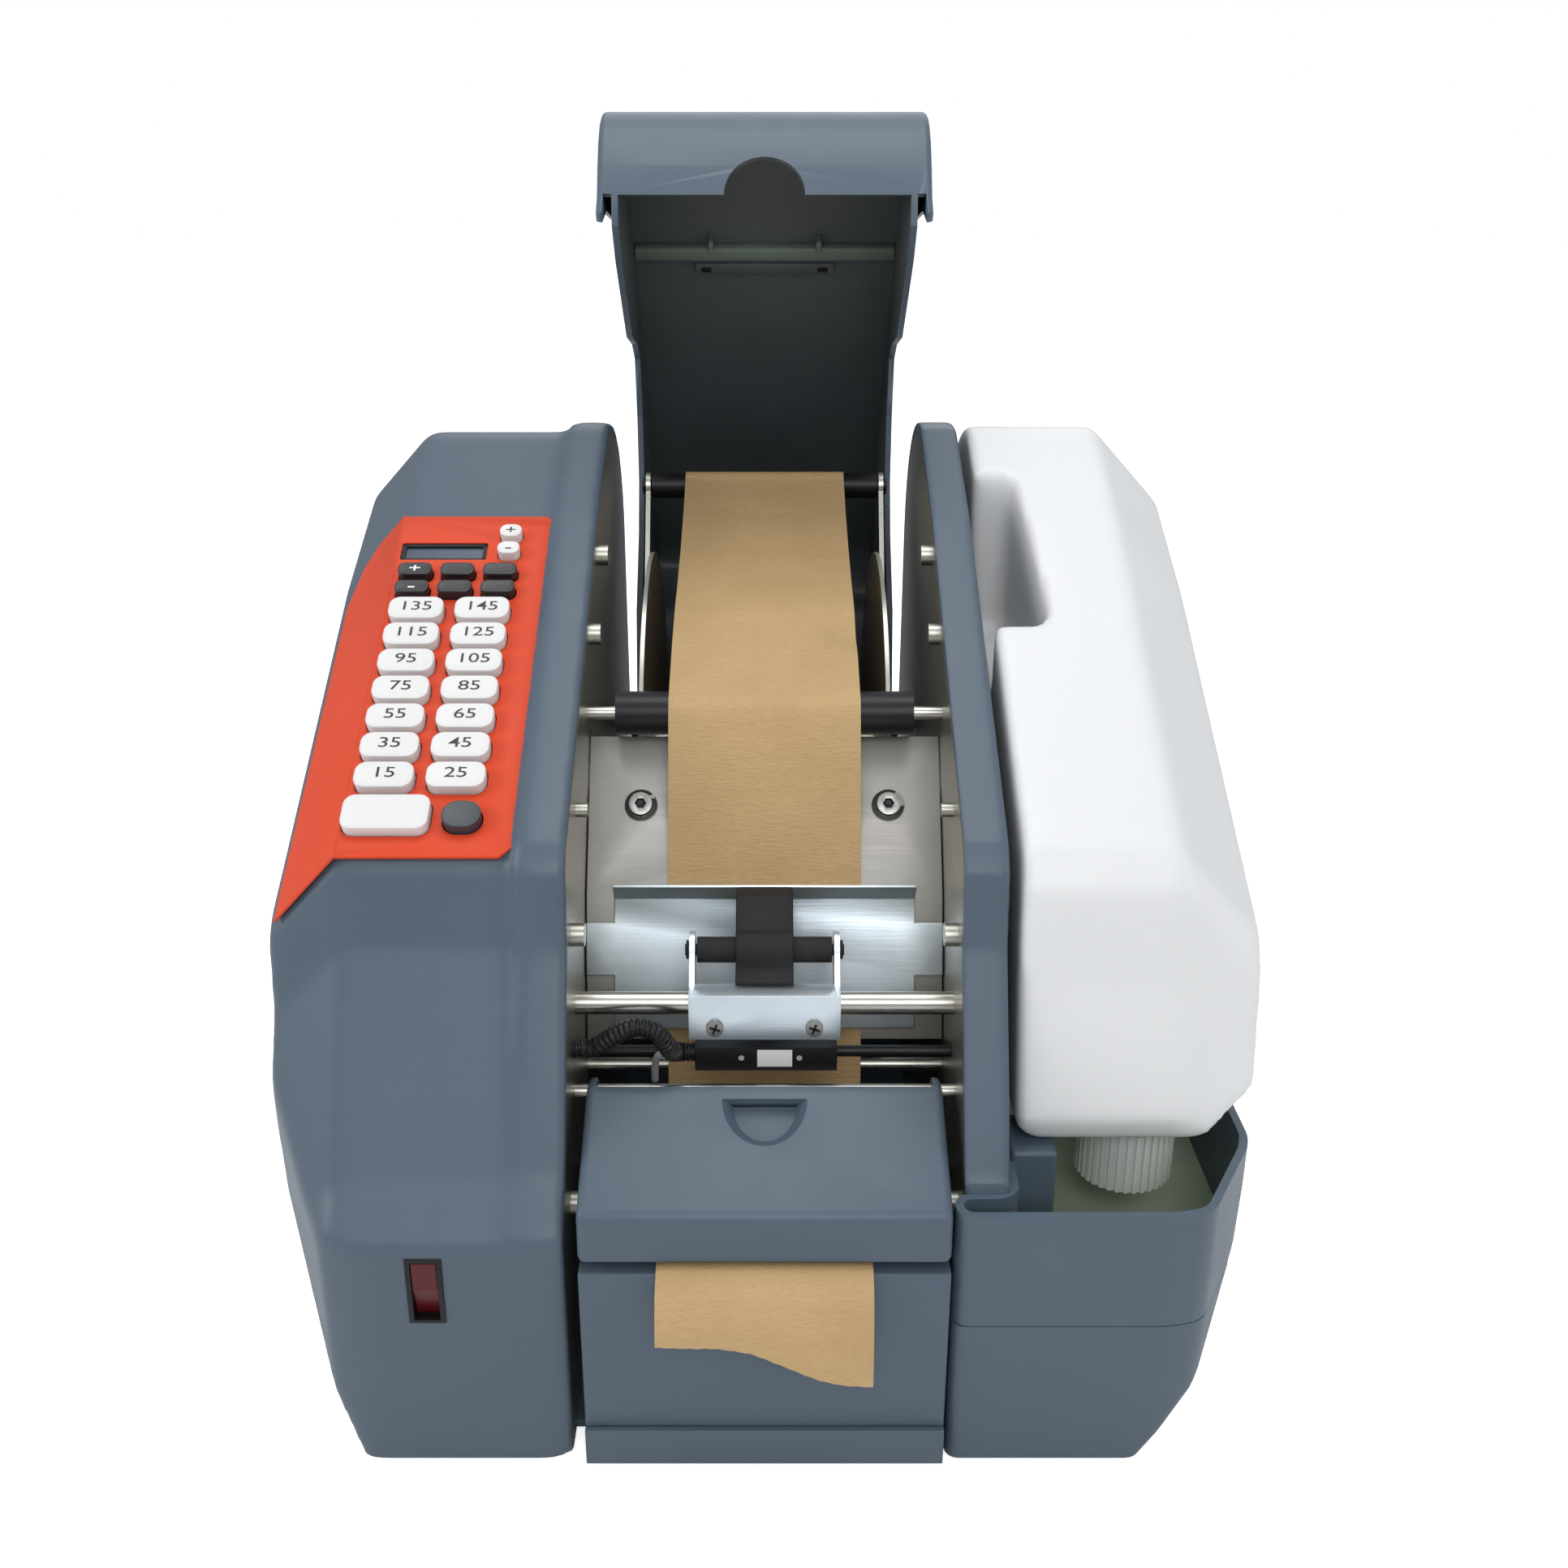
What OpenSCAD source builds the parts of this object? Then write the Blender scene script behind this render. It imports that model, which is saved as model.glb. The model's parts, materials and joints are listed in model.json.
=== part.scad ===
// Counter-top dispenser for water-activated kraft tape, lid open.
// Y runs from the front face to the back, Z is height above the table.

/* [Body] */
// Width over both side covers
body_w = 332; // [324:2:350]
// Height of the body without the lid
body_h = 306; // [300:1:320]
// Depth of the side covers
body_d = 322; // [318:1:340]
// Clear width between the two side frames
bay_w = 130; // [129:0.5:134]
// Wall of the plastic covers
wall = 3; // [2:0.5:4]
// Width of the raised rim round each side frame
rim_w = 15; // [13:0.5:17]
// Thickness of the sheet-metal side frames
plate_t = 2; // [1.5:0.25:2.5]
// Height of the rubber feet
foot_h = 3; // [2:0.5:4]
// Gap left between neighbouring pieces
gap = 0.3; // [0.3:0.05:0.5]

/* [Keys] */
// Width of a number key
key_w = 20; // [17:0.5:21]
// Height of a number key along the panel
key_l = 11; // [9:0.5:12]
// Distance between the two key columns
key_col = 24.3; // [24:0.1:25]
// Distance between key rows along the panel
key_row = 13.3; // [12.5:0.1:13.8]
// How far a key stands above the panel
key_up = 4; // [3:0.5:5]
// Travel of a key
key_travel = 1.2; // [0.8:0.1:1.5]
// Tilt of the keypad face, down towards the outer side
key_tilt = 16; // [14:0.5:18]

/* [Front] */
// Gap between the brush cover and each side frame
front_gap = 4.7; // [4:0.1:7]
// Drop from the top of the body to the brush cover's lower lip
lip_drop = 223.4; // [221:0.2:226]
// Thickness of the paper in the model
paper_t = 0.5; // [0.4:0.05:0.6]
// Width of the tape
tape_w = 70; // [60:1:76]

/* [Rollers] */
// Diameter of the guide roller
guide_d = 16; // [14:0.5:18]
// Diameter of the top roller
top_d = 11; // [10:0.5:12]
// Diameter of the spindle in every roller
spindle_d = 5; // [4:0.25:5.5]
// Diameter of the cross shaft
shaft_d = 8; // [7:0.25:9]
// Diameter of the feed roller
feed_d = 24; // [22:0.5:26]
// How far the discs stand out past the paper roll
disc_rim = 13; // [10:1:25]
// Bore of the paper roll's core
core_d = 32; // [26:1:36]
// Running clearance of a shaft in its bore, on the radius
run = 0.06; // [0.04:0.01:0.08]

/* [Lid] */
// Gap between the lid's side walls and each side frame
lid_gap = 6.5; // [6:0.1:8]
// Wall of the lid
lid_t = 2.5; // [2:0.25:3]
// Angle by which the lid stands open
lid_open = 80; // [75:1:82]
// Diameter of the lid's two hinge pins
hinge_d = 8; // [6:0.5:9]

/* [Water] */
// Height of the tank's rim
tank_z = 100.4; // [98:0.2:104]
// Height of the seam under the tank
seam_z = 57; // [52:1:62]
// Diameter of the bottle's cap
cap_d = 34; // [30:1:36]
// Height of the bottle's lift out of the tank
bottle_lift = 60; // [40:5:80]

/* [Hidden] */
$fn = 48;

// Colours
slate = [0.33, 0.38, 0.43];
orange = [0.84, 0.25, 0.12];
steel = [0.68, 0.68, 0.66];
zinc = [0.72, 0.76, 0.80];
ink = [0.06, 0.06, 0.07];
cream = [0.94, 0.94, 0.92];
kraft = [0.80, 0.64, 0.40];

half_bay = bay_w / 2;
half_w = body_w / 2;
front_w = bay_w - 2 * front_gap;
lid_w = bay_w - 2 * lid_gap;
lip_z = body_h - lip_drop;
// The discs fill a share of the depth, and the paper roll lies within them
disc_d = 0.5466 * body_d;
roll_d = disc_d - 2 * disc_rim;
// The origin sits under the middle of the box that the whole open machine fills
centre_y = 203;

// Outline helpers
function unit(v) = v / norm(v);
function inset(pts, d) = [
    for (i = [0 : len(pts) - 1])
        let (
            n = len(pts),
            u = unit(pts[i] - pts[(i + n - 1) % n]),
            v = unit(pts[(i + 1) % n] - pts[i]),
            nu = [-u[1], u[0]],
            nv = [-v[1], v[0]]
        )
        pts[i] + (nu + nv) * d / (1 + nu * nv)
];
function arc(c, r, a0, a1, n = 8) = [
    for (i = [0 : n]) c + r * [cos(a0 + (a1 - a0) * i / n), sin(a0 + (a1 - a0) * i / n)]
];
function turn(p, a) = [p[0] * cos(a) - p[1] * sin(a), p[0] * sin(a) + p[1] * cos(a)];
module place() translate([0, -centre_y, 0]) children();
// Extrudes an outline drawn in (Y, Z) along X, from x0 to x1
module along_x(x0, x1) translate([x0, 0, 0]) rotate([90, 0, 90]) linear_extrude(x1 - x0) children();
// A round bar along X with its axis at p = [Y, Z]
module bar_x(p, d, x0, x1) translate([x0, p[0], p[1]]) rotate([0, 90, 0]) cylinder(d = d, h = x1 - x0);
module block(x0, x1, y0, y1, z0, z1) translate([x0, y0, z0]) cube([x1 - x0, y1 - y0, z1 - z0]);

// Side outline shared by frames, rims, covers and lid, in (Y, Z), from the bottom front corner round
floor_z = 1.5;
slope = 28.6;
knee = [57, body_h - 101];
slope_run = 158;
rear_r = 60;
crest = [body_d - rear_r, body_h - rear_r];
slope_top = knee + slope_run * [cos(slope), sin(slope)];
toe = [14, body_h - 201];
chin = [0, body_h - 216];
rim_top = concat(arc(crest, rear_r, 0, 96, 12), [slope_top, knee, knee + [-6, -8], knee + [-10, -33]]);
rim_line = concat(rim_top, [toe, chin]);
side_outline = concat([[0, floor_z], [body_d, floor_z]], rim_line);
// The keypad plane lies this far under the rim
rim_proud = 2.8;
panel_t = 1.2;
rim_in = half_bay + 0.2;
rim_out = rim_in + rim_w;
cover_in = rim_out + gap;

// Origin of the keypad plane at the rim, and its two directions
pad_origin = knee + [15, 15 * tan(slope) - rim_proud / cos(slope)];
module on_pad(x, u, h = 0)
    translate([x, pad_origin[0], pad_origin[1]])
        rotate([slope, 0, 0])
            translate([0, u, h])
                children();

// Left cover: front corner, shoulder and tapered foot
corner_x = 139;
corner_y = 42;
shoulder_x = 141;
shoulder = 47;
foot_x = 137;
taper_z = 108;
function left_plan(d) =
    let (xi = -cover_in + (d > 0 ? 2 * d : d))
    inset([
        [xi, 0], [xi, body_d], [-half_w + 14, body_d], [-half_w, body_d - 34],
        [-half_w, corner_y], [-corner_x - 5, 3], [-corner_x + 6, 0]
    ], d);
function left_front(d) =
    let (xi = -cover_in + (d > 0 ? 2 * d : d), zb = floor_z - (d > 0 ? 2 * d : 0))
    inset([
        [xi, body_h + 20], [-half_w, body_h + 20], [-half_w, taper_z],
        [-half_w + 2, taper_z - 26], [-foot_x, zb], [xi, zb]
    ], d);
// The cover steps in from the rim on top, and is flush with it low down at the front
step_in = rim_proud + panel_t;
function cover_side(d) =
    let (zb = floor_z - step_in - (d > 0 ? 2 * d : 0))
    inset(concat(
        [[-step_in, zb], [body_d, zb]],
        rim_top,
        [toe - [step_in, 0], chin - [step_in, 0]]
    ), step_in + d);
pivot_z = body_h - 76;
// Side outline as seen square to a shoulder plane, with its foot, all below low, carried far down.
// It sits a hair further back than the level form, so that no two edges of the two forms meet.
set_back = 0.12;
function squeezed(pts, low) = [
    for (p = pts) [p[0] + set_back, p[1] < low ? -2 * body_h : pivot_z + (p[1] - pivot_z) * cos(shoulder)]
];
// The cover's outer form, drawn in by d
module left_form(d) intersection() {
    along_x(-half_w - 5, -cover_in + max(d, 0)) polygon(cover_side(d));
    translate([-shoulder_x, 0, pivot_z])
        rotate([0, -shoulder, 0])
            translate([0, 0, -pivot_z])
                along_x(-2 * body_h, body_w) polygon(squeezed(cover_side(d), floor_z + 6));
    translate([0, 0, -20]) linear_extrude(body_h + 60) polygon(left_plan(d));
    translate([0, body_d + 5, 0]) rotate([90, 0, 0]) linear_extrude(body_d + 10) polygon(left_front(d));
}
// Rectangle with round corners, made of true arcs
module pill(w, l, r) {
    square([w - 2 * r, l], center = true);
    square([w, l - 2 * r], center = true);
    for (x = [-1, 1], y = [-1, 1]) translate([x * (w / 2 - r), y * (l / 2 - r)]) circle(r = r);
}

// Places of the keys on the pad: [x, u, width, length, corner radius]
inner_col = -104;
outer_col = inner_col - key_col;
first_row = 13;
black_cols = [-131.5, -115.5, -99.5];
black_rows = [first_row + 7 * key_row - 2, first_row + 7 * key_row + 7.4];
volume_x = -97.5;
number_keys = [
    for (i = [0 : 6], c = [outer_col, inner_col]) [c, first_row + i * key_row, key_w, key_l, 4]
];
start_place = [-125.4, -3, 29, 14.4, 4];
feed_place = [-100.2, -4, 13, 11, 5.2];
function black_place(c, r) = [black_cols[c], black_rows[r], 12.6, 6.4, 2.4];
function volume_place(r) = [volume_x, black_rows[1] + 11.8 + r * 9.6, 8.4, 6.6, 3];
all_keys = concat(
    number_keys,
    [start_place, feed_place],
    [for (c = [0 : 2], r = [0 : 1]) black_place(c, r)],
    [volume_place(0), volume_place(1)]
);
key_play = 0.4;
key_root = 3;
module key(p, tint) color(tint) {
    on_pad(p[0], p[1], -key_root) linear_extrude(key_root + key_up - 1.4) pill(p[2], p[3], p[4]);
    on_pad(p[0], p[1], key_up - 1.4) linear_extrude(0.8) pill(p[2] - 0.8, p[3] - 0.8, p[4] - 0.4);
    on_pad(p[0], p[1], key_up - 0.6) linear_extrude(0.6) pill(p[2] - 2.2, p[3] - 2.2, p[4] - 1.1);
}
window_place = [-122.7, first_row + 7 * key_row + 21, 33, 9.4, 1];

// Opening of the cover under the keys and the display
well_x = [-shoulder_x + gap, -92.6];
well_u = [-12, 140];
module left_cover() color(slate) difference() {
    left_form(0);
    left_form(wall);
    on_pad(well_x[0], well_u[0], -12) cube([well_x[1] - well_x[0], well_u[1] - well_u[0], 30]);
    // Opening for the rocker switch
    block(rocker_x[0] - gap, rocker_x[1] + gap, -1, wall + 2, rocker_z[0] - gap, rocker_z[1] + gap);
}

// The plate that frames the keys: it lies on the cover and folds over its shoulder
panel_u = [-19, 147];
shoulder_slope = atan(tan(slope) * cos(shoulder));
shoulder_fit = cos(slope) / cos(shoulder_slope);
shoulder_t = panel_t / cos(slope) * cos(shoulder) * cos(shoulder_slope) - 0.02;
// A point beside the fold, x across it and u up the slope, in the shoulder's own plane
function fold(x, u) = [x + tan(shoulder) * sin(shoulder_slope) * u * shoulder_fit, u * shoulder_fit];
module on_shoulder(h) translate([-shoulder_x, pad_origin[0], pad_origin[1]])
    rotate([0, -shoulder, 0])
        rotate([shoulder_slope, 0, 0])
            translate([0, 0, h])
                children();
module keypad_panel() color(orange) difference() {
    union() {
        on_pad(0, 0, -panel_t) linear_extrude(panel_t) polygon([
            [-cover_in - 0.4, panel_u[0] + 6], [-cover_in - 0.4, panel_u[1] - 4],
            [-cover_in - 4.4, panel_u[1]], [-shoulder_x, panel_u[1]], [-shoulder_x, panel_u[0]],
            [-cover_in - 6.4, panel_u[0]]
        ]);
        on_shoulder(-shoulder_t) linear_extrude(shoulder_t - 0.04) polygon([
            fold(0.4, panel_u[0]), fold(0.4, panel_u[1]), fold(-15, panel_u[1]),
            fold(-24, panel_u[1] - 5), fold(-31, panel_u[1] - 20), fold(-32, panel_u[0])
        ]);
    }
    for (p = all_keys)
        on_pad(p[0], p[1], -8) linear_extrude(20)
            pill(p[2] + 2 * key_play, p[3] + 2 * key_play, p[4] + key_play);
    on_pad(window_place[0], window_place[1], -8) linear_extrude(20)
        pill(window_place[2], window_place[3], window_place[4]);
}
module display_window() color([0.12, 0.16, 0.20])
    on_pad(window_place[0], window_place[1], -panel_t - 2.2) linear_extrude(2)
        pill(window_place[2] + 2, window_place[3] + 3, 1.5);

// Rocker switch in the front of the left cover
rocker_x = [-116, -104];
rocker_z = [57, 86];
rocker_rim = 1.6;
rocker_mid = (rocker_z[0] + rocker_z[1]) / 2;
rocker_axis = [6, rocker_mid];
rocker_pin = 2.4;
module rocker_frame() color(ink) difference() {
    union() {
        block(rocker_x[0] - 0.9, rocker_x[1] + 0.9, -1, -0.02, rocker_z[0] - 0.9, rocker_z[1] + 0.9);
        block(rocker_x[0], rocker_x[1], -0.1, 16, rocker_z[0], rocker_z[1]);
    }
    block(
        rocker_x[0] + rocker_rim, rocker_x[1] - rocker_rim, -2, 14,
        rocker_z[0] + rocker_rim, rocker_z[1] - rocker_rim
    );
    bar_x(rocker_axis, rocker_pin + 2 * run, rocker_x[0] + 0.4, rocker_x[1] - 0.4);
}
rocker_half = 10.8;
module rocker() color([0.35, 0.02, 0.03]) {
    bar_x(rocker_axis, rocker_pin, rocker_x[0] + 0.6, rocker_x[1] - 0.6);
    along_x(rocker_x[0] + rocker_rim + 0.4, rocker_x[1] - rocker_rim - 0.4) polygon([
        [0.2, rocker_mid], [-0.2, rocker_mid + rocker_half], [3, rocker_mid + rocker_half + 0.4],
        [8, rocker_mid + 3], [8, rocker_mid - 3], [5, rocker_mid - rocker_half - 0.4],
        [3.4, rocker_mid - rocker_half - 0.4]
    ]);
}

// Side frames, with their pressed-in studs
frame_in = 4.4;
pan_z = [foot_h, foot_h + 3];
hinge = [body_d - 35, body_h - 141];
guide = [0.4317 * body_d, body_h - 85];
cross_shaft = [67, body_h - 166];
feed = [66, body_h - 232];
roll = [0.7205 * body_d, body_h - 138];
cover_rod = [52, body_h - 192];
stay_rod = [92, body_h - 206];
stud_d = 8;
stud_l = 4.4;
studs = [[194, body_h - 39.4], [155, body_h - 59.6], [64, body_h - 138], [30, body_h - 222]];
// The pan's top, with the gap above it that the upright pieces keep
over_pan = pan_z[1] + gap;
module side_frame(y_front) {
    difference() {
        along_x(rim_in, rim_in + plate_t) intersection() {
            polygon(inset(side_outline, frame_in));
            translate([y_front, over_pan]) square([body_d, body_h]);
        }
        for (p = [guide, cover_rod, stay_rod, roll])
            bar_x(p, spindle_d + 2 * run, rim_in - 1, rim_in + plate_t + 1);
        for (p = [cross_shaft, feed])
            bar_x(p, shaft_d + 2 * run, rim_in - 1, rim_in + plate_t + 1);
    }
    for (s = studs) bar_x(s, stud_d, rim_in - stud_l, rim_in + 0.5);
    bar_x([92, body_h - 104], 5, rim_in - 4, rim_in + 0.5);
    bar_x(hinge, hinge_d, lid_w / 2 - lid_t - 1, rim_in + 0.5);
}
module right_side_plate() color(steel) side_frame(tank_front + wall + 2 * gap);
module left_side_plate() color(steel) mirror([1, 0, 0]) side_frame(0);

// Rims that close the covers round the side frames
module rim_shell(y_front) difference() {
    intersection() {
        along_x(rim_in, rim_out) polygon(side_outline);
        block(0, half_w, y_front, body_d + 1, 0, body_h + 1);
    }
    along_x(rim_in - 1, rim_out - wall) intersection() {
        polygon(inset(side_outline, frame_in - gap));
        translate([y_front + (y_front > 0 ? wall : -1), -1]) square([body_d, body_h]);
    }
    // Way in for the feed shaft, and room for the pan
    bar_x(feed, 14, rim_in, rim_out + 1);
    block(rim_in - 1, rim_out + 1, tank_front, body_d - 26 + gap, 0, over_pan);
}
tank_front = 12.4;
module left_rim_cover() color(slate) mirror([1, 0, 0]) rim_shell(0);
module right_rim_cover() color(slate) rim_shell(tank_front + gap);

// Bottom pan with the front strip and the wall behind the paper roll
strip_z = 15.8;
module base_tray() color(slate) {
    difference() {
        union() {
            block(-front_w / 2, front_w / 2, 4, body_d / 2, pan_z[0], pan_z[1]);
            block(-half_bay, half_bay, tank_front + gap, body_d - 8, pan_z[0], pan_z[1]);
            block(-foot_x + 8, 118, tank_front + gap, body_d - 26, pan_z[0], pan_z[1]);
        }
        for (x = [-40, 0, 40], y = [150 : 24 : 270]) translate([x, y, 0]) cylinder(d = 10, h = 20);
    }
    block(-half_bay, half_bay, body_d - 11, body_d - 8, pan_z[0], 118);
    difference() {
        block(-front_w / 2, front_w / 2, -2.6, 6, floor_z, strip_z);
        block(-front_w / 2 + wall, front_w / 2 - wall, wall - 2.6, 8, 0, strip_z - wall);
    }
    block(-front_w / 2 + wall, front_w / 2 - wall, wall - 3, 5, pan_z[0], pan_z[1]);
}
feet = [[-118, 30], [100, 30], [-118, body_d - 44], [100, body_d - 44]];
module rubber_feet() color(ink) for (p = feet)
    translate([p[0], p[1], 0]) {
        cylinder(d = 20, h = foot_h);
        cylinder(d = 16, h = foot_h - 0.2);
    }

// Front panel under the brush cover
panel_top = lip_z - 3.6;
module front_panel() color(slate) difference() {
    block(-front_w / 2, front_w / 2, -1, 40, strip_z + gap, panel_top);
    block(-front_w / 2 + wall, front_w / 2 - wall, wall - 1, 41, 0, panel_top - wall);
    // Slots for the blade and the brush
    block(
        -tape_w / 2 - 6, tape_w / 2 + 6, blade_y[0] - 1, blade_y[1] + 1.4,
        panel_top - 19, panel_top + 11
    );
    block(-brush_l / 2 - 1, brush_l / 2 + 1, 12, 27, panel_top - 19, panel_top + 11);
}

// Brush cover: slanted top, lip over the paper slot, finger recess, cheeks with hinge eyes
cover_top = [44, lip_z + 38.4];
cover_edge = [0, lip_z + 17.8];
cover_lip = [-1.3, lip_z];
recess_r = 16.5;
module brush_cover() color(slate) difference() {
    union() {
        along_x(-front_w / 2, front_w / 2) polygon([
            cover_lip, [wall - 1.3, lip_z], cover_edge + [wall, -2.4], cover_top + [0, -wall - 0.4],
            cover_top, cover_edge + [1, 0.5], cover_edge
        ]);
        for (x = [-front_w / 2, front_w / 2 - wall]) along_x(x, x + wall) polygon([
            cover_lip, [26, lip_z], [cover_rod[0], cover_rod[1] - 7], cover_rod + [6, 0],
            cover_rod + [0, 6], cover_top, cover_edge
        ]);
        for (x = [-front_w / 2, front_w / 2 - 6]) bar_x(cover_rod, 12, x, x + 6);
    }
    bar_x(cover_rod, spindle_d + 2 * run, -front_w, front_w);
    // Finger recess in the slanted top
    translate([0, cover_top[0], cover_top[1] + 0.6])
        rotate([atan2(cover_top[1] - cover_edge[1], cover_top[0] - cover_edge[0]), 0, 0])
            translate([0, -1, -1.8]) difference() {
                cylinder(r = recess_r, h = 6);
                translate([-20, 0, -1]) cube([40, 30, 10]);
            }
}
// Brush that wets the gum, standing in its trough
brush_l = 88;
module wetting_brush() color([0.2, 0.2, 0.22]) {
    block(-brush_l / 2, brush_l / 2, 12, 27, pan_z[1], pan_z[1] + 2);
    block(-brush_l / 2, brush_l / 2, 18, 21, pan_z[1], panel_top - 23);
    block(-brush_l / 2, brush_l / 2, 13, 26, panel_top - 25, panel_top - 17);
    block(2 - brush_l / 2, brush_l / 2 - 2, 14.5, 24.5, panel_top - 17, panel_top + 1);
}

// Water tank and the block that it stands on
right_foot_x = 128;
function right_plan(d, near) = inset([
    [61.3, 0], [corner_x - 6, 0], [corner_x + 5, 3], [half_w, corner_y], [half_w, body_d - 34],
    [half_w - 14, body_d], [near, body_d], [near, tank_front], [61.3, tank_front]
], d);
function right_front(d) = inset([
    [61.3, floor_z], [right_foot_x, floor_z], [half_w - 2, 60], [half_w, 84], [half_w, 120],
    [61.3, 120]
], d);
module right_form(d) intersection() {
    linear_extrude(200) polygon(right_plan(d, rim_out + gap));
    translate([0, body_d + 5, 0]) rotate([90, 0, 0]) linear_extrude(body_d + 10) polygon(right_front(d));
}
module water_tank() color(slate) {
    tank_shell();
    tank_ledges();
}
module tank_shell() difference() {
    intersection() {
        right_form(0);
        block(0, half_w + 5, -5, body_d + 5, seam_z + gap, tank_z);
    }
    intersection() {
        right_form(wall - 0.4);
        block(0, half_w + 5, -5, body_d + 5, seam_z + gap + wall, 119);
    }
}
module tank_base() color(slate) difference() {
    intersection() {
        right_form(0);
        block(0, half_w + 5, -5, body_d + 5, floor_z, seam_z);
    }
    intersection() {
        right_form(wall);
        block(0, half_w + 5, -5, body_d + 5, -1, seam_z - wall);
    }
    // Room for the bottom pan and its foot
    block(0, 121, tank_front, body_d - 22, 0, pan_z[1] + 0.3);
}
// Ledges inside the tank that carry the bottle
bottle_in = rim_out + gap + 3.6;
bottle_z = 104;
ledge_y = [[30, 54], [250, 280]];
module tank_ledges() for (y = ledge_y)
    block(rim_out + gap + wall - 1, bottle_in + 14, y[0], y[1], seam_z + gap + 1, bottle_z - gap);

// Bottle: same side outline as the covers, with a big outer shoulder and a hand hold
bottle_foot_y = 38;
neck = [127.5, 60];
neck_d = 27;
function bottle_side(d) = inset(
    concat(
        [[bottle_foot_y - 2, bottle_z - 1], [body_d - 8, bottle_z - 1]],
        arc(crest - [4, 0], rear_r, 0, 96, 12),
        [slope_top, knee + [-1, -2], knee + [-8, -14], knee + [-13, -46]],
        [[bottle_foot_y - 6, bottle_z + 10]]
    ), 1 + d);
function bottle_front(d) = inset([
    [bottle_in - 2, body_h + 20], [bottle_in - 2, bottle_z + 8], [bottle_in + 8, bottle_z - 2],
    [half_w - 22.4, bottle_z - 2], [half_w + 2, bottle_z + 18.7], [half_w + 2, body_h + 20]
], d);
function bottle_plan(d) = inset([
    [bottle_in, 4], [corner_x + 8, 4], [half_w, corner_y + 3], [half_w, body_d - 40],
    [half_w - 18, body_d - 10], [bottle_in, body_d - 10]
], d);
module bottle_form(d) intersection() {
    along_x(0, half_w + 5) polygon(bottle_side(d));
    translate([shoulder_x - 4, 0, pivot_z])
        rotate([0, shoulder, 0])
            translate([0, 0, -pivot_z])
                along_x(-body_w, 2 * body_h) polygon(squeezed(bottle_side(d), bottle_z + 5));
    linear_extrude(body_h + 20) polygon(bottle_plan(d));
    translate([0, body_d + 5, 0]) rotate([90, 0, 0]) linear_extrude(body_d + 10) polygon(bottle_front(d));
}
hold_x = bottle_in + 21;
hold_y = [150, 226];
bottle_wall = 2.2;
module hold_cut(d) {
    translate([0, 0, 226 - d]) linear_extrude(200) polygon([
        [0, hold_y[0] - d], [hold_x + d, hold_y[0] - d],
        [hold_x - 6 + d, hold_y[1] + d], [0, hold_y[1] + d]
    ]);
}
module water_bottle() color(cream) {
    difference() {
        union() {
            difference() {
                bottle_form(0);
                hold_cut(0);
            }
            translate([neck[0], neck[1], bottle_z - 20]) cylinder(d = neck_d, h = 22);
        }
        difference() {
            bottle_form(bottle_wall);
            hold_cut(bottle_wall);
        }
        translate([neck[0], neck[1], bottle_z - 21]) cylinder(d = neck_d - 5, h = 30);
    }
}
cap_h = 23;
cap_z = bottle_z - 26;
module bottle_cap() color(cream) difference() {
    translate([neck[0], neck[1], cap_z]) {
        cylinder(d = cap_d - 1.2, h = cap_h);
        cylinder(d = cap_d, h = 4);
        for (i = [0 : 35]) rotate([0, 0, 10 * i])
            translate([cap_d / 2 - 0.8, -0.6, 0]) cube([0.8, 1.2, cap_h - 1]);
    }
    translate([neck[0], neck[1], cap_z + 3]) cylinder(d = neck_d + 2 * run, h = cap_h);
    translate([neck[0], neck[1], cap_z - 1]) cylinder(d = 6, h = 9);
}

// Sheet-metal guides for the paper, in (Y, Z)
plate_line = [guide + [2, -10], [106, body_h - 143], [88, body_h - 193]];
function side(pts, t) = [
    for (i = [0 : len(pts) - 1])
        let (
            u = unit(pts[max(i, 1)] - pts[max(i, 1) - 1]),
            v = unit(pts[min(i + 1, len(pts) - 1)] - pts[min(i + 1, len(pts) - 1) - 1]),
            nu = [u[1], -u[0]],
            nv = [v[1], -v[0]]
        )
        pts[i] + (nu + nv) * t / (1 + nu * nv)
];
function reversed(a) = [for (i = [len(a) - 1 : -1 : 0]) a[i]];
module strip(pts, t0, t1, w) along_x(-w / 2, w / 2)
    polygon(concat(side(pts, t0), reversed(side(pts, t1))));

feed_plate_w = bay_w - 0.6;
screw_x = 45.5;
plate_rise = plate_line[0] - plate_line[1];
screw_at = plate_line[1] + 0.556 * plate_rise;
module feed_plate() color(steel) {
    strip(plate_line, -1.5, 0, feed_plate_w);
    // Button-head screws, seated on the plate's upper stretch
    for (x = [-1, 1])
        translate([x * screw_x, screw_at[0], screw_at[1]])
            rotate([atan2(plate_rise[1], plate_rise[0]), 0, 0])
                difference() {
                    union() {
                        translate([0, 0, -1]) cylinder(d = 12, h = 1.8);
                        cylinder(d = 8.6, h = 3.4);
                    }
                    translate([0, 0, 1.4]) cylinder(d = 4, h = 3, $fn = 6);
                }
}
// Zinc-plated plate that holds the paper down, with ears to the side frames
zinc_w = 109;
zinc_line = [plate_line[1] + [-6, 8], plate_line[1], plate_line[2] + [1.4, 4]];
module pressure_plate() color(zinc) {
    strip(zinc_line, 1.4, 2.6, zinc_w);
    intersection() {
        strip(zinc_line, 1.4, 2.6, bay_w - 0.6);
        block(-half_bay, half_bay, 80, 110, plate_line[1][1] - 27, plate_line[1][1] - 9);
    }
}

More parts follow.
